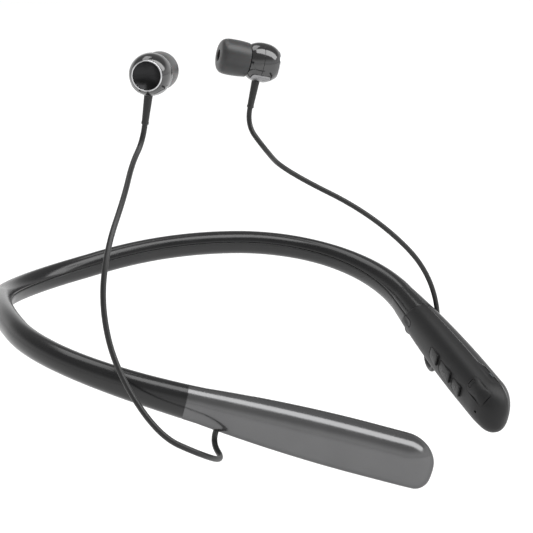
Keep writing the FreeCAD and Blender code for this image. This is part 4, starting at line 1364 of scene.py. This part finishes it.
@dataclass
class Pod:
    """One pod: a grey outer shell and a black inner shell that meet along a parting line."""

    route: CollarRoute
    side: Side
    wall: float = 1.0 * MM
    lip: float = 0.16 * MM
    tip_wall_run: float = 8 * MM
    facet_depth: float = 0.3 * MM
    facet_start: tuple[float, float] = (18.4 * MM, 16.6 * MM)
    facet_end: tuple[float, float] = (9 * MM, 7.2 * MM)
    keys_setback: float = 36.8 * MM
    key_gap: float = 0.8 * MM
    lamp_setback: float = 12 * MM
    lamp_offset: float = 1.35 * MM
    lamp_slot: tuple[float, float] = (1.1 * MM, 0.4 * MM)
    lens_clearance: float = 0.05 * MM
    lens_depth: float = 1.4 * MM
    lens_edge: float = 0.12 * MM
    mic_setback: float = 6.2 * MM
    mic_drop: float = 1.2 * MM
    mic_radius: float = 0.45 * MM

    def __post_init__(self) -> None:
        """Take the pod's form from the route."""
        self.form = ArmForm(self.route, self.side)

    def shell_places(self, start: float, end: float) -> np.ndarray:
        """Places of a shell's rows (n, 1), closer together at its edge and at the tip.

        Args:
            start: the shell's edge at the band end.
            end: its end at the tip.

        Returns:
            Places (n, 1).
        """
        body = self.form.length - self.form.tip_top_run
        edge = start + np.array([0, 0.03, 0.08, 0.15, 0.26]) * MM
        straight = np.linspace(start + 0.5 * MM, body, 150, endpoint=False)
        round_end = body + (end - body) * np.sin(np.linspace(0, math.pi / 2, 44))
        return np.concatenate([edge, straight, round_end])[:, None]

    def recess(self, places: np.ndarray, outward: np.ndarray) -> np.ndarray:
        """How far the black shell lies back in the facet beside the left pod's jog.

        Args:
            places: places along the arm.
            outward: outward offsets of the points there.

        Returns:
            Depths under the skin.
        """
        if self.side is Side.RIGHT:
            return np.zeros_like(outward)
        past_tip = places - self.form.length
        span = smooth(past_tip, -self.facet_start[0], -self.facet_start[1])
        span = span * (1 - smooth(past_tip, -self.facet_end[0], -self.facet_end[1]))
        return self.facet_depth * span * smooth(outward, -1.0 * MM, 0.4 * MM)

    def half_shell(self, name: str, outer: bool) -> bpy.types.Object:
        """One shell as a skin between its two parting lines, then given a wall.

        Rows follow places along the pod, the first one slanted with the shell's
        edge; columns follow angles from one parting line to the other, spaced by a
        cosine so that they crowd at the edges. At every edge the skin sinks by a
        quarter round into the groove.

        Args:
            name: the piece's name.
            outer: True for the outer shell, False for the inner one.

        Returns:
            The closed shell.
        """
        form, parts = self.form, PARTINGS
        start, slope = parts.inner_start, parts.inner_slope
        tip = form.length
        if outer:
            start, slope = parts.outer_start, parts.outer_slope
            near_tip = np.linspace(tip - 7 * MM, tip, 4000)
            wide = form.sections(near_tip).half_width > parts.seam_line(form, near_tip)
            tip = near_tip[wide].max()
        places = self.shell_places(start, tip)
        sections = form.sections(places)
        meet = sections.angle_of(parts.seam_line(form, places))
        share = (1 - np.cos(np.linspace(0, math.pi, 90)))[None] / 2
        span = 2 * meet if outer else TURN - 2 * meet
        angles = (-meet if outer else meet) + span * share
        outward, up = sections.offsets(angles)
        slant = slope * up * (1 - (places - start) / (tip - start)) ** 3
        reach = np.minimum(share, 1 - share) * span * (sections.top - sections.bottom) / 2
        reach = np.where(meet > 0, reach, self.lip * 2)
        reach = np.minimum(reach, places - start)
        fold = self.lip * (1 - quarter(1 - np.clip(reach / (self.lip * 1.6), 0, 1)))
        if not outer:
            fold = fold + self.recess(places, outward)
        skin = form.points(places + slant, angles, -fold)
        depth = np.minimum(self.wall, 0.5 * np.hypot(outward, up))
        back = self.wall * smooth(places, form.length - self.tip_wall_run, form.length)[..., None]
        lining = form.points(places + slant, angles, -depth) - back * form.local().x
        return walled(name, skin, lining)

    def controls(self) -> list[Key | PowerButton | PortCover]:
        """What the left pod carries on its inner side.

        Returns:
            The keys, the power button and the port cover.
        """
        start = self.form.length - self.keys_setback
        rows = (
            ("volume_down_key", "volume_down", 6 * MM, 0.5 * MM, Glyph.MINUS),
            ("multi_key", "multi", 8 * MM, 0.0, Glyph.HANDSET),
            ("volume_up_key", "volume_up", 6 * MM, -0.5 * MM, Glyph.PLUS),
        )
        keys = []
        for node, body, length, lift, glyph in rows:
            keys.append(Key(node, body, start, length, lift, glyph))
            start += length + self.key_gap
        return [*keys, PowerButton(), PortCover()]

    def lamp_seat(self) -> Seat:
        """The indicator lamp's place on the top, beside the parting line."""
        middle = (self.form.length - self.lamp_setback, self.lamp_offset, 0)
        return Seat(self.form, middle, (0, -1, 0), (0, 0, 1))

    def small_cutters(self) -> list[bpy.types.Object]:
        """Cutters for the microphone hole and the lamp's slot.

        Returns:
            The two cutters.
        """
        spot = (self.form.length - self.mic_setback, 0, -self.mic_drop)
        mic = Seat(self.form, spot, (0, 0, 1), (0, -1, 0))
        hole = stadium_loop(self.mic_radius, self.mic_radius, 32)
        slot = stadium_loop(*self.lamp_slot, 40)
        return [
            slab("mic_cutter", mic, hole, -CUT_DEPTH, even(CUT_HEIGHT)),
            slab("lamp_cutter", self.lamp_seat(), slot, -CUT_HEIGHT, even(CUT_HEIGHT)),
        ]

    def build_lens(self, finishes: Finishes) -> None:
        """The lamp's lens, level with the skin.

        Args:
            finishes: the object's finishes.
        """
        outline = stadium_loop(*(size - self.lens_clearance for size in self.lamp_slot), 40)
        seat, level = self.lamp_seat(), even(0.0)
        lens = slab("lamp_lens_cap", seat, outline, -self.lens_depth, level, self.lens_edge)
        dress(lens, finishes.lens)
        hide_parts("lamp_window")

    def build(self, finishes: Finishes) -> None:
        """Make both shells and everything set in them.

        Args:
            finishes: the object's finishes.
        """
        word = self.side.word
        outer = self.half_shell(f"pod_outer_{word}_skin", True)
        inner = self.half_shell(f"pod_inner_{word}_skin", False)
        cutters = []
        if self.side is Side.LEFT:
            controls = self.controls()
            cutters = [item.cutter(self.form) for item in controls] + self.small_cutters()
            for item in controls:
                item.build(self.form, finishes)
            self.build_lens(finishes)
        carve(inner, cutters)
        Grommet(self.side).build(self.route, finishes)
        for shell, part, material, slot in (
            (outer, "outer", finishes.grey, "pod_grey"),
            (inner, "inner", finishes.black, "pod_black"),
        ):
            sharpen(shell)
            dress(shell, material)
            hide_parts(f"pod_{part}_{word}")


# ------------------------------------------------------------------ cords
@dataclass(frozen=True)
class CordRun:
    """A cord's facts and the points that steer it, in metres."""

    side: Side
    points: tuple[Spot, ...]
    length: float
    diameter: float = 1.6 * MM

    def build(self, finishes: Finishes) -> None:
        """A smooth round cord: one NURBS spline of order 3 with the points as controls.

        Args:
            finishes: the object's finishes.
        """
        name = f"cord_{self.side.word}_line"
        curve = bpy.data.curves.new(name, "CURVE")
        curve.dimensions = "3D"
        curve.resolution_u = 24
        curve.render_resolution_u = 24
        curve.bevel_depth = self.diameter / 2
        curve.bevel_resolution = 8
        curve.use_fill_caps = True
        spline = curve.splines.new("NURBS")
        spline.points.add(len(self.points) - 1)
        for control, spot in zip(spline.points, self.points):
            control.co = (*spot, 1.0)
        spline.order_u = 3
        spline.use_endpoint_u = True
        piece = bpy.data.objects.new(name, curve)
        bpy.context.collection.objects.link(piece)
        dress(piece, finishes.cord)
        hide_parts(f"cord_{self.side.word}")


LEFT_BENDS = (
    (-69.8, 103.6, -16.1), (-69.5, 103.4, -26.4), (-58.3, 112.4, -26.1), (-63.1, 110.1, 3.2),
    (-51.2, 93.2, 24.5), (-41.2, 65.1, 37.8), (-26.3, 66.4, 47.5),
)
RIGHT_BENDS = (
    (64.3, 106.2, -18.0), (78.2, 107.1, -11.6), (82.7, 96.9, -6.9), (79.1, 81.3, 7.8),
    (76.2, 75.0, 23.5), (68.6, 72.0, 37.3), (54.2, 68.0, 47.5), (40.1, 61.5, 53.8),
)


def cord_points(
    route: CollarRoute, bud: "Earbud", bends: tuple[Spot, ...], first_run: float, last_run: float
) -> tuple[Spot, ...]:
    """The steering points from the grommet's face to the end of the boot.

    Args:
        route: the collar's route, which carries the pod.
        bud: the earbud at the cord's far end.
        bends: the points between, in millimetres.
        first_run: the straight run out of the grommet.
        last_run: the straight run into the boot.

    Returns:
        Points in metres.
    """
    foot = Grommet(bud.side).foot(route)
    start, after = foot.origin, foot.world(np.array([-first_run, 0, 0]))
    end = bud.place().world(np.array([0, 0, -bud.boot_end]))
    before = bud.place().world(np.array([0, 0, -bud.boot_end - last_run]))
    middle = [tuple(v * MM for v in bend) for bend in bends]
    return (tuple(start), tuple(after), *middle, tuple(before), tuple(end))


@dataclass
class Grommet:
    """The rubber bush under the pod that the cord comes out of."""

    side: Side
    place: float = 6.0 * MM
    offset: float = -0.3 * MM
    proud: float = 0.5 * MM
    sunk: float = 0.35 * MM
    radius: float = 1.4 * MM
    length: float = 3.2 * MM
    lip: float = 0.5 * MM
    chamfer: tuple[float, float] = (0.25 * MM, 0.35 * MM)
    cord_radius: float = 0.8 * MM

    def foot(self, route: CollarRoute) -> Local:
        """The bush's lower face: x up the bush.

        Args:
            route: the collar's route.

        Returns:
            A place whose x runs up the bush.
        """
        form = ArmForm(route, self.side)
        bottom = form.sections(np.array([self.place])).bottom[0] - self.proud
        local = form.local()
        origin = local.world(np.array([self.place, self.offset, bottom]))
        return Local(origin, local.z, local.x, local.y)

    def build(self, route: CollarRoute, finishes: Finishes) -> None:
        """A turned bush whose mouth rolls in to the cord.

        Args:
            route: the collar's route.
            finishes: the object's finishes.
        """
        place = self.foot(route)
        low, mouth, (fall, run) = self.sunk, self.cord_radius * 0.9, self.chamfer
        profile = np.array([
            [low + self.lip, 0.0], [low + self.lip, mouth], [low, mouth],
            [low, self.cord_radius + 0.2 * MM], [low, self.radius - run],
            [low + fall, self.radius], [self.length, self.radius], [self.length, 0.0],
        ])
        bush = lathe(f"cord_bush_{self.side.word}", place, profile, 48, shut=False)
        sharpen(bush, 50)
        dress(bush, finishes.flap)
        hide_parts(f"grommet_{self.side.word}")


# ------------------------------------------------------------------ earbuds
@dataclass
class Earbud:
    """One earbud: shells, chrome bezel with its dish, silicone tip, saddle and boot."""

    side: Side
    centre: Spot
    toward_ear: Spot
    stem_up: Spot
    radius: float = 6.0 * MM
    back: float = 4.6 * MM
    front: float = 4.4 * MM
    back_depth: float = 6.6 * MM
    front_depth: float = 6.3 * MM
    fullness: float = 2.5
    wall: float = 0.8 * MM
    seam_gap: float = 0.04 * MM
    rim_run: float = 0.55 * MM
    opening: float = 4.0 * MM
    opening_gap: float = 0.05 * MM
    ring_length: float = 0.9 * MM
    ring_gap: float = 0.02 * MM
    ring_face: float = 0.14 * MM
    ring_bulge: float = 0.08 * MM
    dish_sag: float = 1.7 * MM
    dish_thickness: float = 0.5 * MM
    nozzle: float = 2.6 * MM
    nozzle_length: float = 4.6 * MM
    nozzle_bore: float = 1.9 * MM
    nozzle_lip: float = 0.15 * MM
    nozzle_lip_run: float = 0.8 * MM
    tip_radius: float = 5.5 * MM
    tip_length: float = 9.4 * MM
    tip_bore: float = 2.8 * MM
    tip_mouth: float = 1.9 * MM
    tip_reach: float = 4.2 * MM
    tip_power: float = 0.62
    sleeve_radius: float = 3.6 * MM
    skirt_wall: float = 0.5 * MM
    saddle_middle: float = -0.45 * MM
    saddle_half_length: float = 3.1 * MM
    saddle_half_deg: float = 56.0
    collar_drop: float = 6.9 * MM
    boot_length: float = 7.4 * MM
    boot_radii: tuple[float, float] = (1.25 * MM, 0.98 * MM)

    @property
    def boot_end(self) -> float:
        """How far below the bud's centre the boot ends."""
        return self.collar_drop + self.boot_length

    def place(self) -> Local:
        """The bud's own place: x into the ear, z up the stem.

        Returns:
            The place, at the middle of the housing.
        """
        x = np.array(self.toward_ear) / np.linalg.norm(self.toward_ear)
        z = np.array(self.stem_up) - x * (np.array(self.stem_up) @ x)
        z /= np.linalg.norm(z)
        return Local(np.array(self.centre) * MM, x, np.cross(z, x), z)

    def node(self, stem: str) -> str:
        """The name of one of this bud's nodes."""
        return f"{stem}_{self.side.word}"

    def piece(
        self,
        stem: str,
        profile: np.ndarray,
        material: bpy.types.Material,
        slot: str,
        body: str = "headset",
        radius: float = 0.12 * MM,
    ) -> None:
        """One turned piece in place of its node, its corners rounded.

        Args:
            stem: the node's name without the side.
            profile: (k, 2) places along the bud's axis and radii.
            material: its finish.
            slot: not used.
            body: the body it rides on.
            radius: radius of its rounded corners.
        """
        turned = lathe(f"{self.node(stem)}_turned", self.place(), rounded_profile(profile, radius))
        dress(turned, material, body)
        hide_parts(self.node(stem))

    def build(self, finishes: Finishes) -> None:
        """Make every visible piece of the bud.

        Args:
            finishes: the object's finishes.
        """
        self.shells(finishes)
        self.bezel(finishes)
        self.ear_tip(finishes)
        self.saddle(finishes)
        self.boot(finishes)

    def ball(self, places: np.ndarray) -> np.ndarray:
        """Radius of the housing at places along the axis: r (1 - |x / a|^n)^(1 / n).

        In front of the equator n is 2; behind it a little more, so that the back is
        fuller and the bezel nearly as wide as the ball.

        Args:
            places: places along the bud's axis.

        Returns:
            Radii there.
        """
        depth = np.where(places < 0, self.back_depth, self.front_depth)
        power = np.where(places < 0, self.fullness, 2.0)
        form = np.clip(1 - np.abs(places / depth) ** power, 0, 1)
        return self.radius * form ** (1 / power)

    def skin(self, first: float, last: float, inset: float = 0.0) -> np.ndarray:
        """The housing's profile between two places."""
        x = np.linspace(first, last, 26)
        return np.stack([x, self.ball(x) - inset], axis=1)

    def shells(self, finishes: Finishes) -> None:
        """The back shell and the front shell with the nozzle: one ball with a fine seam.

        Args:
            finishes: the object's finishes.
        """
        w, gap, hole = self.wall, self.seam_gap, self.opening + self.opening_gap
        rim = self.back + self.rim_run
        rear = chain(
            self.skin(-gap, -rim), (-rim, hole), (w - rim, hole), self.skin(w - rim, -gap, w)
        )
        self.piece("rear_shell", rear, finishes.gunmetal, "bud_gunmetal", radius=0.06 * MM)
        f, n, bore = self.front, self.nozzle, self.nozzle_bore
        end, lip = f + self.nozzle_length, n + self.nozzle_lip
        step = end - self.nozzle_lip_run
        front = chain(
            self.skin(gap, f - w, w), (f - w, bore), (end, bore), (end, lip), (step, lip),
            (step, n), (f, n), self.skin(f, gap),
        )
        self.piece("front_shell", front, finishes.gunmetal, "bud_black", radius=0.06 * MM)

    def bezel(self, finishes: Finishes) -> None:
        """The thin polished ring and the deep dark dish that it frames.

        Args:
            finishes: the object's finishes.
        """
        hole, start = self.opening, self.back + self.rim_run + self.ring_gap
        outer = float(self.ball(np.array(-start)))
        tail = self.back + self.ring_length
        brow = bent((-start, outer), (-tail, hole + self.ring_face), self.ring_bulge)
        ring = chain((-start, hole), (-start, outer), brow, (-tail + self.ring_bulge, hole))
        self.piece("bezel_ring", ring, finishes.chrome, "chrome", radius=0.05 * MM)
        edge, rim = hole - 0.04 * MM, -(tail - 0.25 * MM)
        radius = np.linspace(0, edge, 30)
        face = np.stack([rim + self.dish_sag * (1 - (radius / edge) ** 2), radius], axis=1)
        backside = face[::-1] + np.array([self.dish_thickness, 0])
        profile = np.concatenate([face, backside])
        dish = lathe(f"{self.node('dish')}_turned", self.place(), profile, shut=False)
        self.mark_radius(dish)
        dress(dish, finishes.dish)
        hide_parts(self.node("dish"))

    def mark_radius(self, piece: bpy.types.Object) -> None:
        """Store each point's distance from the bud's axis for the turned rings.

        Args:
            piece: the piece that the rings are on.
        """
        count = len(piece.data.vertices)
        points = np.empty(count * 3)
        piece.data.vertices.foreach_get("co", points)
        place = self.place()
        offset = points.reshape(-1, 3) - place.origin
        radial = offset - np.outer(offset @ place.x, place.x)
        layer = piece.data.attributes.new("turned_radius", "FLOAT", "POINT")
        layer.data.foreach_set("value", np.linalg.norm(radial, axis=1))

    def ear_tip(self, finishes: Finishes) -> None:
        """The silicone tip: a sleeve on the nozzle and a barrel skirt turned back over it.

        The skirt is a superellipse in profile: x = front - reach (1 - cos^p t) and
        r = mouth + (tip - mouth) sin^p t, p under 1 for the full barrel.

        Args:
            finishes: the object's finishes.
        """
        bore, sleeve, skin = self.tip_bore, self.sleeve_radius, self.skirt_wall
        mouth, reach, power = self.tip_mouth, self.tip_reach, self.tip_power
        back = self.front + 0.3 * MM
        front = back + self.tip_length - 0.9 * MM
        t = np.linspace(0, math.pi / 2, 30)
        x = front - reach * (1 - np.cos(t) ** power)
        dome = np.stack([x, mouth + (self.tip_radius - mouth) * np.sin(t) ** power], axis=1)
        rim = self.tip_radius - 0.3 * MM
        seat = self.front_depth * math.sqrt(1 - ((rim - skin) / self.radius) ** 2) + 0.15 * MM
        side = bent((front - reach, self.tip_radius), (seat, rim), 0.1 * MM)
        x = front - 1.6 * MM - 3.2 * MM * (1 - np.cos(t[::-1]))
        inner = np.stack([x, sleeve + (self.tip_radius - skin - sleeve) * np.sin(t[::-1])], axis=1)
        throat = mouth - 0.2 * MM
        profile = chain(
            (back, bore), (front - 1.7 * MM, bore), (front - 0.9 * MM, throat),
            (front - 0.15 * MM, throat), dome, side[1:], (seat, rim - skin), inner, (back, sleeve),
        )
        body = f"tip_{self.side.word}"
        self.piece("ear_tip", profile, finishes.silicone, "silicone", body, 0.2 * MM)

    def patch(self, name: str, grow: float, low: float, high: float) -> bpy.types.Object:
        """A rounded patch of shell round the ball's underside, from low to high over it.

        Its outline is a superellipse pillow in place along the axis and angle.

        Args:
            name: the end of the piece's name.
            grow: how far it grows along the shell.
            low: height of its underside over the ball.
            high: height of its face over the ball.

        Returns:
            The patch.
        """
        grid = pillow(31, 72, 0.3)
        half_angle = math.radians(self.saddle_half_deg) + grow / self.radius
        x = self.saddle_middle + grid[..., 0] * (self.saddle_half_length + grow)
        angle = -math.pi / 2 + grid[..., 1] * half_angle
        radius = self.ball(x) + low + (grid[..., 2] + 1) / 2 * (high - low)
        points = np.stack([x, radius * np.cos(angle), radius * np.sin(angle)], axis=-1)
        return loft(f"{self.node('saddle')}_{name}", self.place().world(points), capped=False)

    def saddle(self, finishes: Finishes) -> None:
        """The cap let into the ball's underside, with a near-black patch round it as painted shade in the
        seam.

        Args:
            finishes: the object's finishes.
        """
        strap = self.patch("cap", 0.0, -0.4 * MM, 0.1 * MM)
        dress(strap, finishes.saddle)
        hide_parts(self.node("saddle"))
        # Painted shade: a near-black patch 0.2 mm wider than the cap stands for the dark gap of the seam.
        dress(self.patch("seam", 0.2 * MM, -0.3 * MM, 0.06 * MM), finishes.hole)

    def boot(self, finishes: Finishes) -> None:
        """The tapered strain relief, chamfered above, with a small lip below.

        Args:
            finishes: the object's finishes.
        """
        local = self.place()
        down = Local(local.origin, -local.z, local.x, local.y)
        top, end, (wide, low) = self.radius - 0.05 * MM, self.boot_end, self.boot_radii
        lip = low + 0.09 * MM
        profile = chain(
            (top - 1.4 * MM, 0.5 * MM), (top - 1.1 * MM, 0.95 * MM), (top - 0.5 * MM, wide),
            (end - 0.8 * MM, low), (end - 0.7 * MM, lip), (end - 0.1 * MM, lip),
            (end, low - 0.04 * MM), (end, 0.5 * MM),
        )
        piece = lathe(f"{self.node('boot')}_turned", down, rounded_profile(profile, 0.08 * MM), 64)
        dress(piece, finishes.flap)
        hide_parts(self.node("boot"))


# ------------------------------------------------------------------ studio
@dataclass(frozen=True)
class AreaLight:
    """A soft panel seen from the object along a direction, with its long side along another."""

    name: str
    toward: Spot
    distance: float
    long_side: Spot
    size: tuple[float, float]
    radiance: float

    def build(self, middle: Vector) -> None:
        """Hang the panel so that it faces the object's middle; its power is pi A L.

        Args:
            middle: the object's middle.
        """
        lamp = bpy.data.lights.new(self.name, "AREA")
        lamp.shape = "RECTANGLE"
        lamp.size, lamp.size_y = self.size
        lamp.energy = math.pi * self.size[0] * self.size[1] * self.radiance
        panel = bpy.data.objects.new(self.name, lamp)
        bpy.context.collection.objects.link(panel)
        z = Vector(self.toward).normalized()
        x = Vector(self.long_side)
        x = (x - z * x.dot(z)).normalized()
        turn = Matrix((x, z.cross(x), z)).transposed()
        panel.matrix_world = Matrix.Translation(middle + z * self.distance) @ turn.to_4x4()


@dataclass
class Studio:
    """A white sweep under a dimmer ceiling, a long key panel, and the main camera."""

    floor_height: float = -0.075
    floor_grey: float = 0.6
    floor_glow: float = 0.5
    floor_reach: float = 12.0
    ceiling: float = 0.32
    horizon: tuple[float, float] = (0.14, 0.5)
    middle: Spot = (0.0, 0.07, 0.0)
    lens: float = 138.13
    shift: tuple[float, float] = (0.0102, -0.0137)
    eye: Spot = (0.50946, 0.3649, 0.17162)
    eye_right: Spot = (-0.49045, 0.87134, 0.01472)
    eye_up: Spot = (-0.21206, -0.13571, 0.96779)
    eye_forward: Spot = (-0.84528, -0.47153, -0.25134)

    def build(self) -> None:
        """Make floor, sky, panels and camera."""
        self.floor()
        self.sky()
        for light in self.panels():
            light.build(Vector(self.middle))
        self.camera()
        bpy.context.scene.view_settings.view_transform = "Standard"

    def floor(self) -> None:
        """A broad pale floor well below the object, white to the eye and in reflections."""
        reach, height = self.floor_reach, self.floor_height
        mesh = bpy.data.meshes.new("studio_floor")
        corners = [(-reach, -reach), (reach, -reach), (reach, reach), (-reach, reach)]
        mesh.from_pydata([(x, y, height) for x, y in corners], [], [(0, 1, 2, 3)])
        floor = bpy.data.objects.new("studio_floor", mesh)
        bpy.context.collection.objects.link(floor)
        material = bpy.data.materials.new("studio_white")
        material.use_nodes = True
        nodes, links = material.node_tree.nodes, material.node_tree.links
        shader = nodes["Principled BSDF"]
        shader.inputs["Base Color"].default_value = (*([self.floor_grey] * 3), 1)
        shader.inputs["Roughness"].default_value = 0.9
        shader.inputs["Specular IOR Level"].default_value = 0.0
        shader.inputs["Emission Color"].default_value = (1, 1, 1, 1)
        path, glow = nodes.new("ShaderNodeLightPath"), nodes.new("ShaderNodeMath")
        seen = path.outputs["Is Camera Ray"]
        for ray in ("Is Glossy Ray", "Is Transmission Ray"):
            either = nodes.new("ShaderNodeMath")
            either.operation = "MAXIMUM"
            links.new(seen, either.inputs[0])
            links.new(path.outputs[ray], either.inputs[1])
            seen = either.outputs[0]
        glow.operation = "MULTIPLY"
        glow.inputs[1].default_value = self.floor_glow
        links.new(seen, glow.inputs[0])
        links.new(glow.outputs[0], shader.inputs["Emission Strength"])
        mesh.materials.append(material)

    def sky(self) -> None:
        """A sky that is white at the horizon and dims to the ceiling's level above it."""
        world = bpy.data.worlds.new("studio_sky")
        bpy.context.scene.world = world
        world.use_nodes = True
        nodes, links = world.node_tree.nodes, world.node_tree.links
        place, split = nodes.new("ShaderNodeTexCoord"), nodes.new("ShaderNodeSeparateXYZ")
        fade = nodes.new("ShaderNodeMapRange")
        fade.interpolation_type = "SMOOTHSTEP"
        fade.inputs["From Min"].default_value = self.horizon[0]
        fade.inputs["From Max"].default_value = self.horizon[1]
        fade.inputs["To Min"].default_value = 1.0
        fade.inputs["To Max"].default_value = self.ceiling
        links.new(place.outputs["Generated"], split.inputs[0])
        links.new(split.outputs["Z"], fade.inputs["Value"])
        links.new(fade.outputs["Result"], nodes["Background"].inputs["Strength"])
        nodes["Background"].inputs["Color"].default_value = (1, 1, 1, 1)

    def panels(self) -> list[AreaLight]:
        """A long key panel high over the front, and a smaller one over the nape.

        Returns:
            Both panels.
        """
        along = (-0.574, 0.765, -0.29)
        return [
            AreaLight("key_panel", (-0.10, 0.51, 0.86), 2.0, along, (3.4, 1.15), 3.9),
            AreaLight("top_panel", (-0.13, -0.36, 0.92), 2.0, (1.0, 0.0, 0.14), (1.3, 0.8), 2.2),
        ]

    def camera(self) -> None:
        """The main view: from the wearer's right front, a little above."""
        data = bpy.data.cameras.new("main_camera")
        data.sensor_width = 36.0
        data.lens = self.lens
        data.shift_x, data.shift_y = self.shift
        data.clip_start, data.clip_end = 0.01, 20.0
        camera = bpy.data.objects.new("main_camera", data)
        bpy.context.collection.objects.link(camera)
        axes = (Vector(self.eye_right), Vector(self.eye_up), -Vector(self.eye_forward))
        turn = Matrix(axes).transposed()
        camera.matrix_world = Matrix.Translation(Vector(self.eye)) @ turn.to_4x4()
        bpy.context.scene.camera = camera


# ------------------------------------------------------------------ assembly
@dataclass
class Earphones:
    """The whole object, sub-assembly by sub-assembly."""

    finishes: Finishes
    route: CollarRoute

    def buds(self) -> tuple[Earbud, Earbud]:
        """Both earbuds as they hang when worn.

        Returns:
            The left and the right bud.
        """
        return (
            Earbud(Side.LEFT, (-30.9, 61.9, 72.9), (0.6727, -0.7146, 0.1918), (-0.1211, 0.15, 0.9812)),
            Earbud(Side.RIGHT, (30.9, 61.9, 77.7), (-0.945, -0.3209, -0.063), (-0.0945, 0.0838, 0.992)),
        )

    def cords(self, left: Earbud, right: Earbud) -> tuple[CordRun, CordRun]:
        """Both cords, each from its pod to its bud.

        Args:
            left: the left earbud.
            right: the right earbud.

        Returns:
            The left and the right cord.
        """
        left_points = cord_points(self.route, left, LEFT_BENDS, 3.3 * MM, 5.3 * MM)
        right_points = cord_points(self.route, right, RIGHT_BENDS, 3.2 * MM, 4.8 * MM)
        return CordRun(Side.LEFT, left_points, 0.1375), CordRun(Side.RIGHT, right_points, 0.1411)

    def build(self, nodes: dict[str, bpy.types.Object]) -> None:
        """Make every visible piece and finish the inner ones that stay as they are.

        Args:
            nodes: the frame's objects by node name.
        """
        Band(self.route).build(self.finishes)
        left, right = self.buds()
        for side in Side:
            Pod(self.route, side).build(self.finishes)
        for bud in (left, right):
            bud.build(self.finishes)
        for cord in self.cords(left, right):
            cord.build(self.finishes)
        self.finish_inner(nodes)

    def finish_inner(self, nodes: dict[str, bpy.types.Object]) -> None:
        """Give the pieces inside the pods and buds their materials.

        Args:
            nodes: the frame's objects by node name.
        """
        f = self.finishes
        # The microphone takes the near-black painted shade, so the hole in front of it reads dark.
        plain = {
            "spring_wire": f.steel, "band_loom": f.cord, "main_board": f.board,
            "guard_board": f.board, "board_screws": f.steel, "tact_switches": f.steel,
            "vibration_motor": f.steel, "microphone": f.hole, "port_connector": f.steel,
            "battery_cell": f.foil, "battery_pad": f.flap, "driver_left": f.steel,
            "driver_right": f.steel, "nozzle_mesh_left": f.mesh, "nozzle_mesh_right": f.mesh,
        }
        for name, material in plain.items():
            nodes[name].data.materials.clear()
            nodes[name].data.materials.append(material)


def corners(bounds: tuple) -> list[list[float]]:
    """The box's two corners as plain lists."""
    return [list(corner) for corner in bounds]


def main() -> None:
    """Build the scene."""
    logging.basicConfig(level=logging.INFO)
    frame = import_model()
    Earphones(Finishes(), CollarRoute()).build(frame["nodes"])
    Studio().build()


if __name__ == "__main__":
    main()
